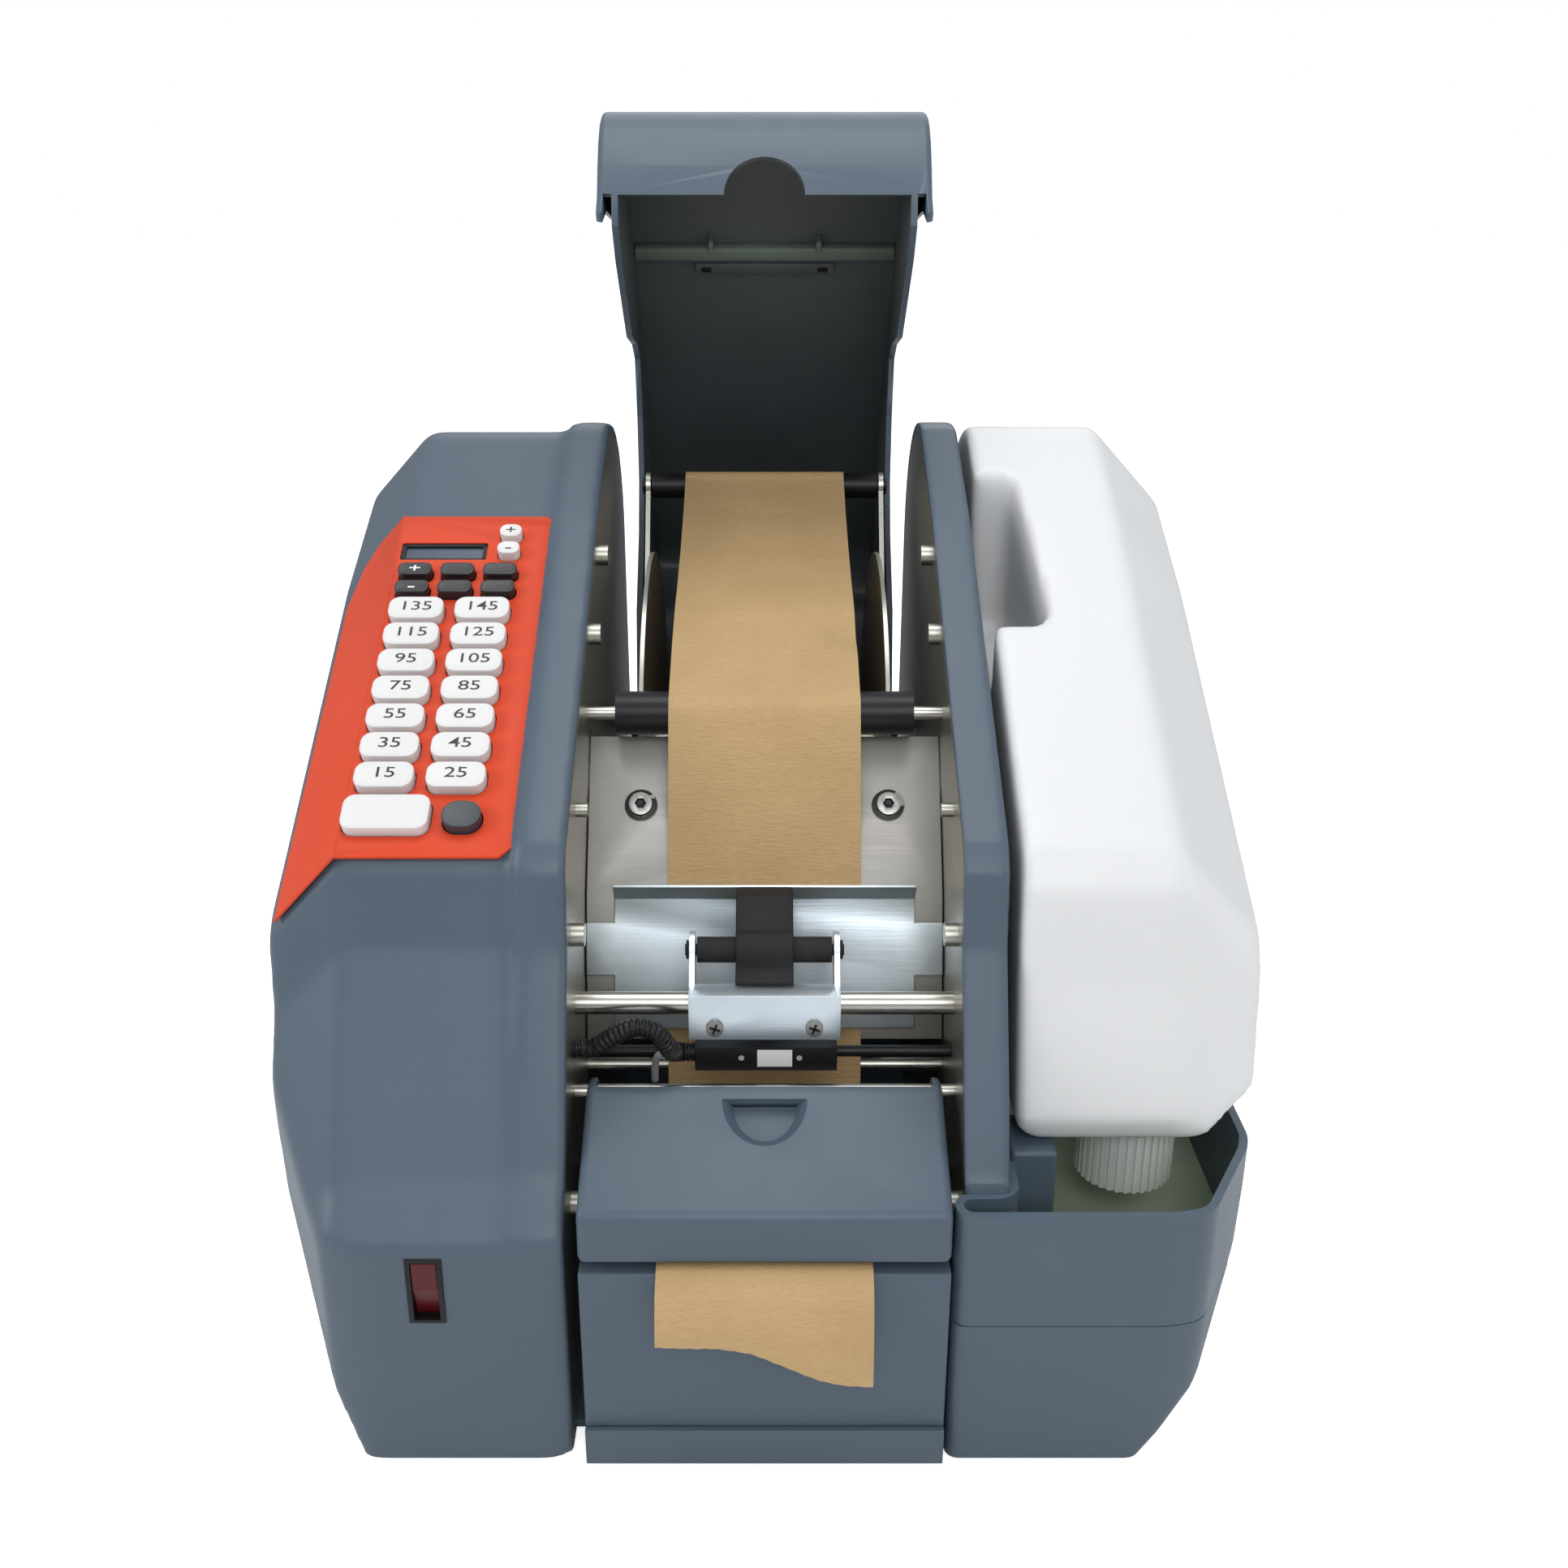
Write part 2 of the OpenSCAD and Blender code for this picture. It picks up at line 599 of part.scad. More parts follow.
// Rods that tie the side frames together
module cross_rods() color(steel) {
    rod_end = rim_in + plate_t;
    bar_x(cross_shaft, shaft_d, -rod_end, rod_end);
    bar_x(cover_rod, spindle_d, -rod_end, rod_end);
    bar_x(stay_rod, spindle_d, -rod_end, rod_end);
    // Spindle on which the paper roll's discs and the two steel arms turn
    bar_x(roll, spindle_d, -rod_end, rod_end);
}

// Sprung bracket that swings on the cross shaft and carries the pressure roller
press_axis = [76, body_h - 150];
ear_x = 24;
ear_t = 2;
// The bracket's front web stands this far before the cross shaft's axis
web_y = 9.6;
module pressure_bracket() color(zinc) difference() {
    union() {
        for (x = [-ear_x - ear_t, ear_x]) along_x(x, x + ear_t) {
            translate(cross_shaft) circle(r = 8.5);
            translate(press_axis) circle(r = 6.5);
            polygon([
                cross_shaft + [-8, 2], cross_shaft + [8, -2], press_axis + [6, -2], press_axis + [-6, 2]
            ]);
            polygon([
                cross_shaft + [-web_y, 8], cross_shaft + [-web_y, -9],
                cross_shaft + [0, -8.5], cross_shaft + [0, 8.5]
            ]);
        }
        // Front web with its folded top
        translate([0, cross_shaft[0], cross_shaft[1]]) {
            block(-ear_x - ear_t, ear_x + ear_t, -web_y, ear_t - web_y, -9, 8);
            block(-ear_x - ear_t, ear_x + ear_t, -web_y, -1, 8 - ear_t, 8);
            for (x = [-17, 17]) translate([x, -web_y, -4]) rotate([90, 0, 0]) cylinder(d = 6, h = 1.6);
        }
    }
    bar_x(cross_shaft, shaft_d + 2 * run, -40, 40);
    bar_x(press_axis, spindle_d - 1 + 2 * run, -40, 40);
    translate([0, cross_shaft[0], cross_shaft[1]])
        block(-ear_x, ear_x, ear_t - web_y, 30, -20, 8 - ear_t);
}
press_d = 9;
module pressure_roller() color(ink) {
    bar_x(press_axis, press_d, -ear_x + 0.6, ear_x - 0.6);
    bar_x(press_axis, spindle_d - 1, -ear_x - ear_t - 1.6, ear_x + ear_t + 1.6);
    for (x = [-ear_x - ear_t - 1.2, ear_x + ear_t + 0.4]) bar_x(press_axis, spindle_d + 1.6, x, x + 0.8);
}
// Rubber strap from the pressure plate's lip over the pressure roller
strap_w = 20;
strap_t = 2;
strap_line = concat(
    [zinc_line[0] + [-4.4, -2.2], zinc_line[0] + [-12, -2]],
    arc(press_axis, press_d / 2 + 0.6, 70, 190, 6),
    [press_axis + [-press_d / 2 - 0.9, -5], cross_shaft + [-3, 8.05]]
);
module rubber_strap() color([0.18, 0.18, 0.19]) strip(strap_line, 0, strap_t, strap_w);

guide_l = 109;
module guide_roller() color(ink) {
    bar_x(guide, guide_d, -guide_l / 2, guide_l / 2);
    bar_x(guide, spindle_d, -rim_in - plate_t, rim_in + plate_t);
}
top_axis = [296, body_h - 33];
top_l = 100;
arm_x = 50.6;
arm_t = 2;
module tension_arms() color(zinc) difference() {
    for (x = [-arm_x - arm_t, arm_x]) along_x(x, x + arm_t) {
        translate(roll) circle(r = 8);
        translate(top_axis) circle(r = 6);
        reach = unit(top_axis - roll);
        across = [-reach[1], reach[0]] * 4.5;
        polygon([roll + across, roll - across, top_axis - across, top_axis + across]);
    }
    for (p = [top_axis, roll]) bar_x(p, spindle_d + 2 * run, -60, 60);
}
module top_roller() color(ink) {
    bar_x(top_axis, top_d, -top_l / 2, top_l / 2);
    bar_x(top_axis, spindle_d, -arm_x - arm_t - 1.8, arm_x + arm_t + 1.8);
    for (x = [-arm_x - arm_t - 1.4, arm_x + arm_t + 0.4]) bar_x(top_axis, spindle_d + 3, x, x + 1);
}
// Paper roll on its core, between two steel discs on a spindle
disc_x = 46.4;
module tape_roll() color(kraft) difference() {
    bar_x(roll, roll_d, -tape_w / 2, tape_w / 2);
    bar_x(roll, core_d, -tape_w, tape_w);
}
disc_t = 1.6;
hub_t = 2;
module roll_discs() color(zinc) difference() {
    union() {
        for (x = [-disc_x - disc_t, disc_x]) bar_x(roll, disc_d, x, x + disc_t);
        bar_x(roll, core_d - 0.4, -disc_x - 0.5, disc_x + 0.5);
    }
    bar_x(roll, core_d - 0.4 - 2 * hub_t, -disc_x, disc_x);
    bar_x(roll, spindle_d + 2 * run, -half_bay, half_bay);
}

// Paper: off the back of the roll, over the top roller, round the guide roller, down between the
// plates, over the feed roller and the brush, and out under the lip
function wrap(c, r, a0, a1, n) = arc(c, r + 0.5, a0, a1, n);
paper_guide = side(plate_line, 0.4);
tongue = [
    [-4, lip_z - 3.6], [-8.5, lip_z - 9], [-12.5, lip_z - 20], [-15, lip_z - 33], [-15.6, lip_z - 46]
];
paper_line = concat(
    [roll + [roll_d / 2 + 0.4, 0]],
    wrap(top_axis, top_d / 2, -3, 150, 8),
    wrap(guide, guide_d / 2, 113, 156, 3),
    [paper_guide[1], paper_guide[2], plate_line[2] + [-6, -17]],
    wrap(feed, feed_d / 2, 66, 104, 3),
    [[44, lip_z - 0.8], [0, lip_z - 1.8]],
    tongue
);
// The torn end, as [x, z]: it hangs lower on the right
torn_z = lip_z - 21.6;
torn = [
    [-tape_w, torn_z], [-30, torn_z], [-16, torn_z - 0.6], [-4, torn_z - 3], [8, torn_z - 7.6],
    [18, torn_z - 12], [26, torn_z - 14.6], [35, torn_z - 16], [tape_w, torn_z - 16]
];
module paper_web() color(kraft) difference() {
    strip(paper_line, 0, paper_t, tape_w);
    rotate([90, 0, 0]) linear_extrude(40, center = true)
        polygon(concat(torn, [[tape_w, torn_z - 70], [-tape_w, torn_z - 70]]));
}
// Driven roller under the paper, and its motor inside the left cover
module feed_roller() color([0.25, 0.25, 0.26]) {
    bar_x(feed, feed_d, -tape_w / 2 - 4, tape_w / 2 + 4);
    bar_x(feed, shaft_d, -rim_out - 6, rim_in + plate_t);
}
motor_d = 46;
motor_l = 62;
module feed_motor() color(zinc) {
    difference() {
        bar_x(feed, motor_d, -rim_out - motor_l, -rim_out - gap - 0.4);
        bar_x(feed, shaft_d + 2 * run, -rim_out - 8, -rim_out + 5);
    }
    block(-rim_out - 46, -rim_out - 12, feed[0] - 12, feed[0] + 12, pan_z[1], feed[1] - 18);
}
// Guillotine blade behind the brush, in a slot of the front panel
blade_y = [31, 32.6];
module cutter_blade() color(steel) difference() {
    block(-tape_w / 2 - 5, tape_w / 2 + 5, blade_y[0], blade_y[1], pan_z[1] + gap, panel_top - 5);
    for (x = [-20, 20]) translate([x, blade_y[0] - 1, 30]) rotate([-90, 0, 0]) cylinder(d = 8, h = 5);
}
// Photo sensor on its bar, and the ribbed conduit of its lead
sensor_bar = cover_rod + [10, 9.5];
sensor_x = [-24, 25];
module photo_sensor() color(ink) {
    translate([0, sensor_bar[0], sensor_bar[1]]) block(sensor_x[0], sensor_x[1], -5, 5, -4.5, 4.5);
    bar_x(sensor_bar + [3, -1.5], 4, -rim_in + gap, rim_in - gap);
}
conduit_points = [
    for (p = [
        [-64.9, -12, 8.5], [-57, -12, 9.5], [-50, -13, 14.5], [-43, -13.5, 17.5], [-37, -13, 15.5],
        [-33.5, -10.5, 9.5], [-32, -7, 4.5], [-29.5, -3.5, 2.1], [-24.3, -2.5, 1.5]
    ]) p + [0, sensor_bar[0], sensor_bar[1]]
];
conduit_d = 7;
conduit_bore = 4.2;
conduit_ribs = 34;
function spline(p, t) =
    let (
        n = len(p) - 1,
        i = min(floor(t * n), n - 1),
        f = t * n - i,
        a = p[max(i - 1, 0)],
        b = p[i],
        c = p[i + 1],
        d = p[min(i + 2, n)]
    )
    0.5 * (
        2 * b + (c - a) * f + (2 * a - 5 * b + 4 * c - d) * pow(f, 2) + (3 * b - a - 3 * c + d) * pow(f, 3)
    );
function ring(p, t, r) =
    let (
        c = spline(p, t),
        along = unit(spline(p, min(t + 0.01, 1)) - spline(p, max(t - 0.01, 0))),
        across = unit(cross(along, [0, 1, 0.2])),
        up = cross(across, along)
    )
    [for (k = [0 : 7]) c + r * (cos(45 * k) * across + sin(45 * k) * up)];
module sensor_conduit() color(ink) {
    rings = 2 * conduit_ribs;
    outer = [for (i = [0 : rings]) ring(conduit_points, i / rings, conduit_d / 2 - (i % 2) * 0.7)];
    inner = [for (i = [rings : -1 : 0]) ring(conduit_points, i / rings, conduit_bore / 2)];
    rows = concat(outer, inner);
    n = len(rows);
    polyhedron(
        points = [for (r = rows) for (q = r) q],
        faces = [
            for (i = [0 : n - 1]) for (k = [0 : 7])
                let (
                    next = (i + 1) % n,
                    a = 8 * i + k,
                    b = 8 * i + (k + 1) % 8,
                    c = 8 * next + k,
                    d = 8 * next + (k + 1) % 8
                )
                each [[a, c, b], [b, c, d]]
        ]
    );
}

// Lid, drawn closed and turned open about its hinge
lid_lip = [48, body_h - 155];
lid_nose = concat(
    [lid_lip, lid_lip + [-9, 8], lid_lip + [-17, 17], lid_lip + [-21.5, 26]],
    arc(lid_lip + [-6, 36], 17, 190, 118, 5),
    [knee + [14, 15 * tan(slope) + 3]]
);
lid_top = concat([slope_top + [0, 1]], arc(crest, rear_r, 94, -2, 12), [[body_d - 1, body_h - 108]]);
// Lower edge of the side walls, from the hinge back to the lip
hinge_r = 13;
lid_edge = concat(
    [[body_d - 5, body_h - 113], [hinge[0] + 20, hinge[1] + 2]],
    arc(hinge, hinge_r, -20, -150, 6),
    [
        hinge + [-50, 12], hinge + [-75, 44], hinge + [-95, 58], guide + [24, 8], guide + [-3, 8],
        guide + [-13, -4], guide + [-24, -30], [89, body_h - 138], [74, body_h - 151], [59, body_h - 159]
    ]
);
lid_skin = concat(lid_nose, lid_top);
lid_outline = concat(reversed(lid_skin), reversed(lid_edge));
lid_inner = inset(lid_outline, lid_t);
skin_n = len(lid_skin);
nose_w = bay_w - 1.6;
notch_d = 31;
notch_tilt = -42;
module swung_open() translate([0, hinge[0], hinge[1]])
    rotate([-lid_open, 0, 0])
        translate([0, -hinge[0], -hinge[1]])
            children();
module lid_closed() difference() {
    union() {
        along_x(-lid_w / 2, lid_w / 2) polygon(lid_outline);
        along_x(-nose_w / 2, nose_w / 2) polygon(concat(lid_nose, reversed(side(lid_nose, lid_t))));
        for (x = [-nose_w / 2, nose_w / 2 - lid_t]) along_x(x, x + lid_t)
            polygon(concat(
                lid_nose, [knee + [16, 6], lid_lip + [9, 12], lid_lip + [9, -7], lid_lip + [5, -9]]
            ));
        for (x = [-lid_w / 2 - 3, lid_w / 2 - lid_t]) bar_x(hinge, 2 * hinge_r - 6, x, x + lid_t + 3);
    }
    // Hollow under the skin, open below
    along_x(-lid_w / 2 + lid_t, lid_w / 2 - lid_t)
        polygon(concat(
            [for (i = [0 : skin_n - 1]) lid_inner[i]],
            [[30, body_h - 200], [body_d + 20, body_h - 200]]
        ));
    bar_x(hinge, hinge_d + 2 * run, -half_bay, half_bay);
    // Finger notch in the lip
    translate([0, lid_lip[0], lid_lip[1]])
        rotate([notch_tilt, 0, 0])
            cylinder(d = notch_d, h = 16, center = true);
}
module top_lid() color(slate) swung_open() lid_closed();

// Keys, by the length of tape that each one gives
module key_15() key(number_keys[0], cream);
module key_25() key(number_keys[1], cream);
module key_35() key(number_keys[2], cream);
module key_45() key(number_keys[3], cream);
module key_55() key(number_keys[4], cream);
module key_65() key(number_keys[5], cream);
module key_75() key(number_keys[6], cream);
module key_85() key(number_keys[7], cream);
module key_95() key(number_keys[8], cream);
module key_105() key(number_keys[9], cream);
module key_115() key(number_keys[10], cream);
module key_125() key(number_keys[11], cream);
module key_135() key(number_keys[12], cream);
module key_145() key(number_keys[13], cream);
module start_key() key(start_place, cream);
module feed_key() key(feed_place, [0.22, 0.24, 0.26]);
module plus_key() key(black_place(0, 1), ink);
module minus_key() key(black_place(0, 0), ink);
module set_key() key(black_place(1, 1), ink);
module enter_key() key(black_place(1, 0), ink);
module double_key() key(black_place(2, 1), ink);
module auto_key() key(black_place(2, 0), ink);
module volume_up_key() key(volume_place(1), cream);
module volume_down_key() key(volume_place(0), cream);

place() base_tray();
place() rubber_feet();
place() left_side_plate();
place() right_side_plate();
place() left_rim_cover();
place() right_rim_cover();
place() left_cover();
place() keypad_panel();
place() display_window();
place() rocker_frame();
place() rocker();
place() front_panel();
place() brush_cover();
place() wetting_brush();
place() water_tank();
place() tank_base();
place() water_bottle();
place() bottle_cap();
place() feed_plate();
place() pressure_plate();
place() cross_rods();
place() pressure_bracket();
place() pressure_roller();
place() rubber_strap();
place() guide_roller();
place() tension_arms();
place() top_roller();
place() tape_roll();
place() roll_discs();
place() paper_web();
place() feed_roller();
place() feed_motor();
place() cutter_blade();
place() photo_sensor();
place() sensor_conduit();
place() top_lid();
place() key_15();
place() key_25();
place() key_35();
place() key_45();
place() key_55();
place() key_65();
place() key_75();
place() key_85();
place() key_95();
place() key_105();
place() key_115();
place() key_125();
place() key_135();
place() key_145();
place() start_key();
place() feed_key();
place() plus_key();
place() minus_key();
place() set_key();
place() enter_key();
place() double_key();
place() auto_key();
place() volume_up_key();
place() volume_down_key();
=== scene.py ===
import json
import math

import bpy
from mathutils import Matrix, Vector

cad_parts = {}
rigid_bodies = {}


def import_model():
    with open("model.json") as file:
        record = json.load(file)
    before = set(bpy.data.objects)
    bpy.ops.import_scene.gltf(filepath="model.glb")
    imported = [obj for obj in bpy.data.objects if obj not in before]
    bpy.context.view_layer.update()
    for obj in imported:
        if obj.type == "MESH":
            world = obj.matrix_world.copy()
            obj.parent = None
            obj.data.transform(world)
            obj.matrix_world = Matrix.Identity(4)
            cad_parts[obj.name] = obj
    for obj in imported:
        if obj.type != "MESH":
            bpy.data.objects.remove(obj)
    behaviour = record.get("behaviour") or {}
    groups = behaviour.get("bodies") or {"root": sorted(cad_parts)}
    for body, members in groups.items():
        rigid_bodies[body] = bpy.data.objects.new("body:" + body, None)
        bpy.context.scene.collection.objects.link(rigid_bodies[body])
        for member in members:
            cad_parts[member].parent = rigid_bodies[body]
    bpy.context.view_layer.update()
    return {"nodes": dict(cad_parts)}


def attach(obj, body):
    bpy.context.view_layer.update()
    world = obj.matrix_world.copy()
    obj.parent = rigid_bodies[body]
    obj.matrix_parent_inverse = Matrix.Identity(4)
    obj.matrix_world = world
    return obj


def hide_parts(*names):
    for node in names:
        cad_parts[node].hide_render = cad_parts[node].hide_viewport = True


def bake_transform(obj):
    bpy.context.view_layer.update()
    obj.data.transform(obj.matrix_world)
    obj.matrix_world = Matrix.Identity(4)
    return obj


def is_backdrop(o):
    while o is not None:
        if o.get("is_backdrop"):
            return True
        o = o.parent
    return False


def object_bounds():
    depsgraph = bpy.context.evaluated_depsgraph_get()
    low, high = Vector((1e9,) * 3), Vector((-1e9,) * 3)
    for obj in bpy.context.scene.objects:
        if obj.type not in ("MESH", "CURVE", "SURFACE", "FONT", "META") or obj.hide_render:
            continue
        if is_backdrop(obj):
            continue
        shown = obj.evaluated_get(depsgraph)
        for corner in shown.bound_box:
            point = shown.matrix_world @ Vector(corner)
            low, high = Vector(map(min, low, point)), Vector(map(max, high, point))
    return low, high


bpy.ops.object.select_all(action="SELECT")
bpy.ops.object.delete()
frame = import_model()
nodes = frame["nodes"]

# The machine's own measures, in millimetres: Y from the front face, Z above the table
MID_Y = 203.0
BODY_W, BODY_D, BODY_H = 332.0, 322.0, 306.0
HALF_W = BODY_W / 2
RIM_IN, RIM_OUT = 65.2, 80.2
FLOOR_Z = 1.5
SLOPE = math.radians(28.6)
KNEE = (57.0, 205.0)
CREST = (262.0, 246.0)
REAR_R = 60.0
SLOPE_TOP = (KNEE[0] + 158 * math.cos(SLOPE), KNEE[1] + 158 * math.sin(SLOPE))
PAD_Y = KNEE[0] + 15
PAD_Z = KNEE[1] + 15 * math.tan(SLOPE) - 2.8 / math.cos(SLOPE)
SHOULDER_X = 141.0
SHOULDER = math.radians(47)
PIVOT_Z = BODY_H - 76


def at(x, y, z):
    """A point of the machine, from millimetres to the frame's metres."""
    return Vector((x / 1000, (y - MID_Y) / 1000, z / 1000))


def on_pad(x, u, h=0.0):
    """A point of the keypad plane: x across, u up the slope and h above it."""
    c, s = math.cos(SLOPE), math.sin(SLOPE)
    return at(x, PAD_Y + u * c - h * s, PAD_Z + u * s + h * c)


def arc(centre, radius, first, last, steps):
    """Points of an arc in (Y, Z), in degrees."""
    return [
        (
            centre[0] + radius * math.cos(math.radians(first + (last - first) * i / steps)),
            centre[1] + radius * math.sin(math.radians(first + (last - first) * i / steps)),
        )
        for i in range(steps + 1)
    ]


# ---------------------------------------------------------------- camera, light and floor

bpy.ops.object.select_all(action="DESELECT")
bpy.ops.object.camera_add(location=at(0, -426.3, 421.1), rotation=(math.radians(68), 0, 0))
camera = bpy.context.object
camera.data.sensor_width = 36
camera.data.lens = 37.27
camera.data.shift_x = 0.0124
camera.data.clip_start = 0.02
bpy.context.scene.camera = camera
bpy.context.scene.view_settings.view_transform = "Standard"


def soft_lamp(name, place, turn, size, power):
    """A square studio lamp."""
    bpy.ops.object.light_add(type="AREA", location=place, rotation=turn)
    lamp = bpy.context.object
    lamp.name = name
    lamp.data.size = size
    lamp.data.energy = power
    return lamp


soft_lamp("top_lamp", (0.0, 0.0, 1.6), (0, 0, 0), 0.8, 9)
soft_lamp("front_lamp", (0.1, -1.7, 1.25), (math.radians(57), 0, math.radians(3)), 0.9, 13)
soft_lamp("left_lamp", (-1.4, -0.5, 0.9), (math.radians(62), 0, math.radians(-70)), 0.8, 10)
soft_lamp("right_lamp", (1.4, -0.7, 0.8), (math.radians(64), 0, math.radians(62)), 0.8, 5)
soft_lamp("back_lamp", (0.2, 1.4, 1.2), (math.radians(-55), 0, math.radians(8)), 1.2, 5)

world = bpy.context.scene.world or bpy.data.worlds.new("studio")
bpy.context.scene.world = world
world.use_nodes = True
sky = world.node_tree
sky.nodes.clear()


def sky_light(colour, strength):
    """A background of one colour."""
    light = sky.nodes.new("ShaderNodeBackground")
    light.inputs["Color"].default_value = (*colour, 1)
    light.inputs["Strength"].default_value = strength
    return light


def sky_mix(mask, first, second):
    """The second background where the mask is 1, the first where it is 0."""
    mixed = sky.nodes.new("ShaderNodeMixShader")
    sky.links.new(mask, mixed.inputs[0])
    sky.links.new(first.outputs[0], mixed.inputs[1])
    sky.links.new(second.outputs[0], mixed.inputs[2])
    return mixed


# Lamps do most of the work. Reflections see a studio that is bright above and dim at the sides
rays = sky.nodes.new("ShaderNodeLightPath")
level = sky.nodes.new("ShaderNodeSeparateXYZ")
sky.links.new(sky.nodes.new("ShaderNodeTexCoord").outputs["Generated"], level.inputs[0])
height = sky.nodes.new("ShaderNodeMapRange")
height.inputs["From Min"].default_value = -0.1
height.inputs["From Max"].default_value = 0.75
sky.links.new(level.outputs["Z"], height.inputs["Value"])
room = sky_mix(height.outputs[0], sky_light((0.84, 0.86, 0.84), 0.26), sky_light((0.90, 0.96, 1.0), 0.85))
fill = sky_mix(rays.outputs["Is Glossy Ray"], sky_light((0.93, 0.96, 1.0), 0.50), room)
seen = sky.nodes.new("ShaderNodeMath")
seen.operation = "MAXIMUM"
sky.links.new(rays.outputs["Is Camera Ray"], seen.inputs[0])
sky.links.new(rays.outputs["Is Transmission Ray"], seen.inputs[1])
whole = sky_mix(seen.outputs[0], fill, sky_light((1, 1, 1), 1.0))
sky.links.new(whole.outputs[0], sky.nodes.new("ShaderNodeOutputWorld").inputs["Surface"])

bpy.ops.object.select_all(action="DESELECT")
bpy.ops.mesh.primitive_plane_add(size=12, location=(0, 0, -0.0004))
floor = bpy.context.object
floor.name = "floor"
paint = bpy.data.materials.new("pale_floor")
paint.use_nodes = True
tree = paint.node_tree
matt = tree.nodes["Principled BSDF"]
matt.inputs["Base Color"].default_value = (0.9, 0.9, 0.9, 1)
matt.inputs["Roughness"].default_value = 0.7
floor_rays = tree.nodes.new("ShaderNodeLightPath")
glow = tree.nodes.new("ShaderNodeMath")
glow.operation = "MULTIPLY"
glow.inputs[1].default_value = 0.75
tree.links.new(floor_rays.outputs["Is Camera Ray"], glow.inputs[0])
matt.inputs["Emission Color"].default_value = (1, 1, 1, 1)
tree.links.new(glow.outputs[0], matt.inputs["Emission Strength"])
floor.data.materials.append(paint)
floor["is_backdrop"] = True

# ---------------------------------------------------------------- material groups


def new_group(name, inputs, outputs):
    """A shader node group with named sockets: {name: (type, value)}."""
    group = bpy.data.node_groups.new(name, "ShaderNodeTree")
    for label, (kind, value) in inputs.items():
        socket = group.interface.new_socket(label, in_out="INPUT", socket_type=kind)
        socket.default_value = value
    for label, kind in outputs.items():
        group.interface.new_socket(label, in_out="OUTPUT", socket_type=kind)
    return group, group.nodes.new("NodeGroupInput"), group.nodes.new("NodeGroupOutput")


def link(group, start, end):
    group.links.new(start, end)


def number(group, operation, a, b=None, clamp=False):
    """A Math node; a and b are sockets or numbers."""
    node = group.nodes.new("ShaderNodeMath")
    node.operation = operation
    node.use_clamp = clamp
    for value, socket in zip((a, b), node.inputs):
        if value is None:
            continue
        if isinstance(value, (int, float)):
            socket.default_value = value
        else:
            group.links.new(value, socket)
    return node.outputs[0]


def noise(group, scale, detail=3.0, stretch=None):
    """Noise on the piece's own coordinates; scale is a socket or a number."""
    place = group.nodes.new("ShaderNodeTexCoord").outputs["Object"]
    if stretch:
        turn = group.nodes.new("ShaderNodeMapping")
        turn.inputs["Scale"].default_value = stretch
        group.links.new(place, turn.inputs["Vector"])
        place = turn.outputs["Vector"]
    grain = group.nodes.new("ShaderNodeTexNoise")
    group.links.new(place, grain.inputs["Vector"])
    if isinstance(scale, (int, float)):
        grain.inputs["Scale"].default_value = scale
    else:
        group.links.new(scale, grain.inputs["Scale"])
    grain.inputs["Detail"].default_value = detail
    return grain.outputs["Fac"]


def blend_colours(group, mask, first, second, mode="MIX"):
    """A colour mix; mask, first and second are sockets or values."""
    mix = group.nodes.new("ShaderNodeMix")
    mix.data_type = "RGBA"
    mix.blend_type = mode
    colours = [s for s in mix.inputs if s.type == "RGBA"]
    for value, socket in zip((mask, first, second), (mix.inputs[0], colours[0], colours[1])):
        if isinstance(value, (int, float, tuple)):
            socket.default_value = value
        else:
            group.links.new(value, socket)
    return [s for s in mix.outputs if s.type == "RGBA"][0]


# Moulded plastic: slow drift of colour, fine texture from the mould, bright worn patches scattered at random
moulded, gin, gout = new_group(
    "moulded_plastic",
    {
        "Colour": ("NodeSocketColor", (0.3, 0.35, 0.4, 1)),
        "Edge Colour": ("NodeSocketColor", (0.4, 0.45, 0.5, 1)),
        "Drift": ("NodeSocketFloat", 0.06),
        "Grain Scale": ("NodeSocketFloat", 1800.0),
        "Roughness": ("NodeSocketFloat", 0.42),
    },
    {"Colour": "NodeSocketColor", "Roughness": "NodeSocketFloat", "Height": "NodeSocketFloat"},
)
slow = noise(moulded, 9.0, 2.0)
fine = noise(moulded, gin.outputs["Grain Scale"], 2.0)
smudge = noise(moulded, 38.0, 4.0)
shift = number(moulded, "MULTIPLY", number(moulded, "SUBTRACT", slow, 0.5), gin.outputs["Drift"])
tone = number(moulded, "ADD", shift, 1.0)
grey = moulded.nodes.new("ShaderNodeCombineColor")
for channel in range(3):
    link(moulded, tone, grey.inputs[channel])
tinted = blend_colours(moulded, 1.0, gin.outputs["Colour"], grey.outputs[0], "MULTIPLY")
worn = number(moulded, "POWER", number(moulded, "MULTIPLY", smudge, 1.25, True), 7.0, True)
link(moulded, blend_colours(moulded, worn, tinted, gin.outputs["Edge Colour"]), gout.inputs["Colour"])
uneven = number(moulded, "MULTIPLY", number(moulded, "SUBTRACT", smudge, 0.5), 0.16)
rough = number(moulded, "ADD", gin.outputs["Roughness"], uneven)
link(moulded, number(moulded, "ADD", rough, number(moulded, "MULTIPLY", fine, 0.04)), gout.inputs["Roughness"])
link(moulded, fine, gout.inputs["Height"])

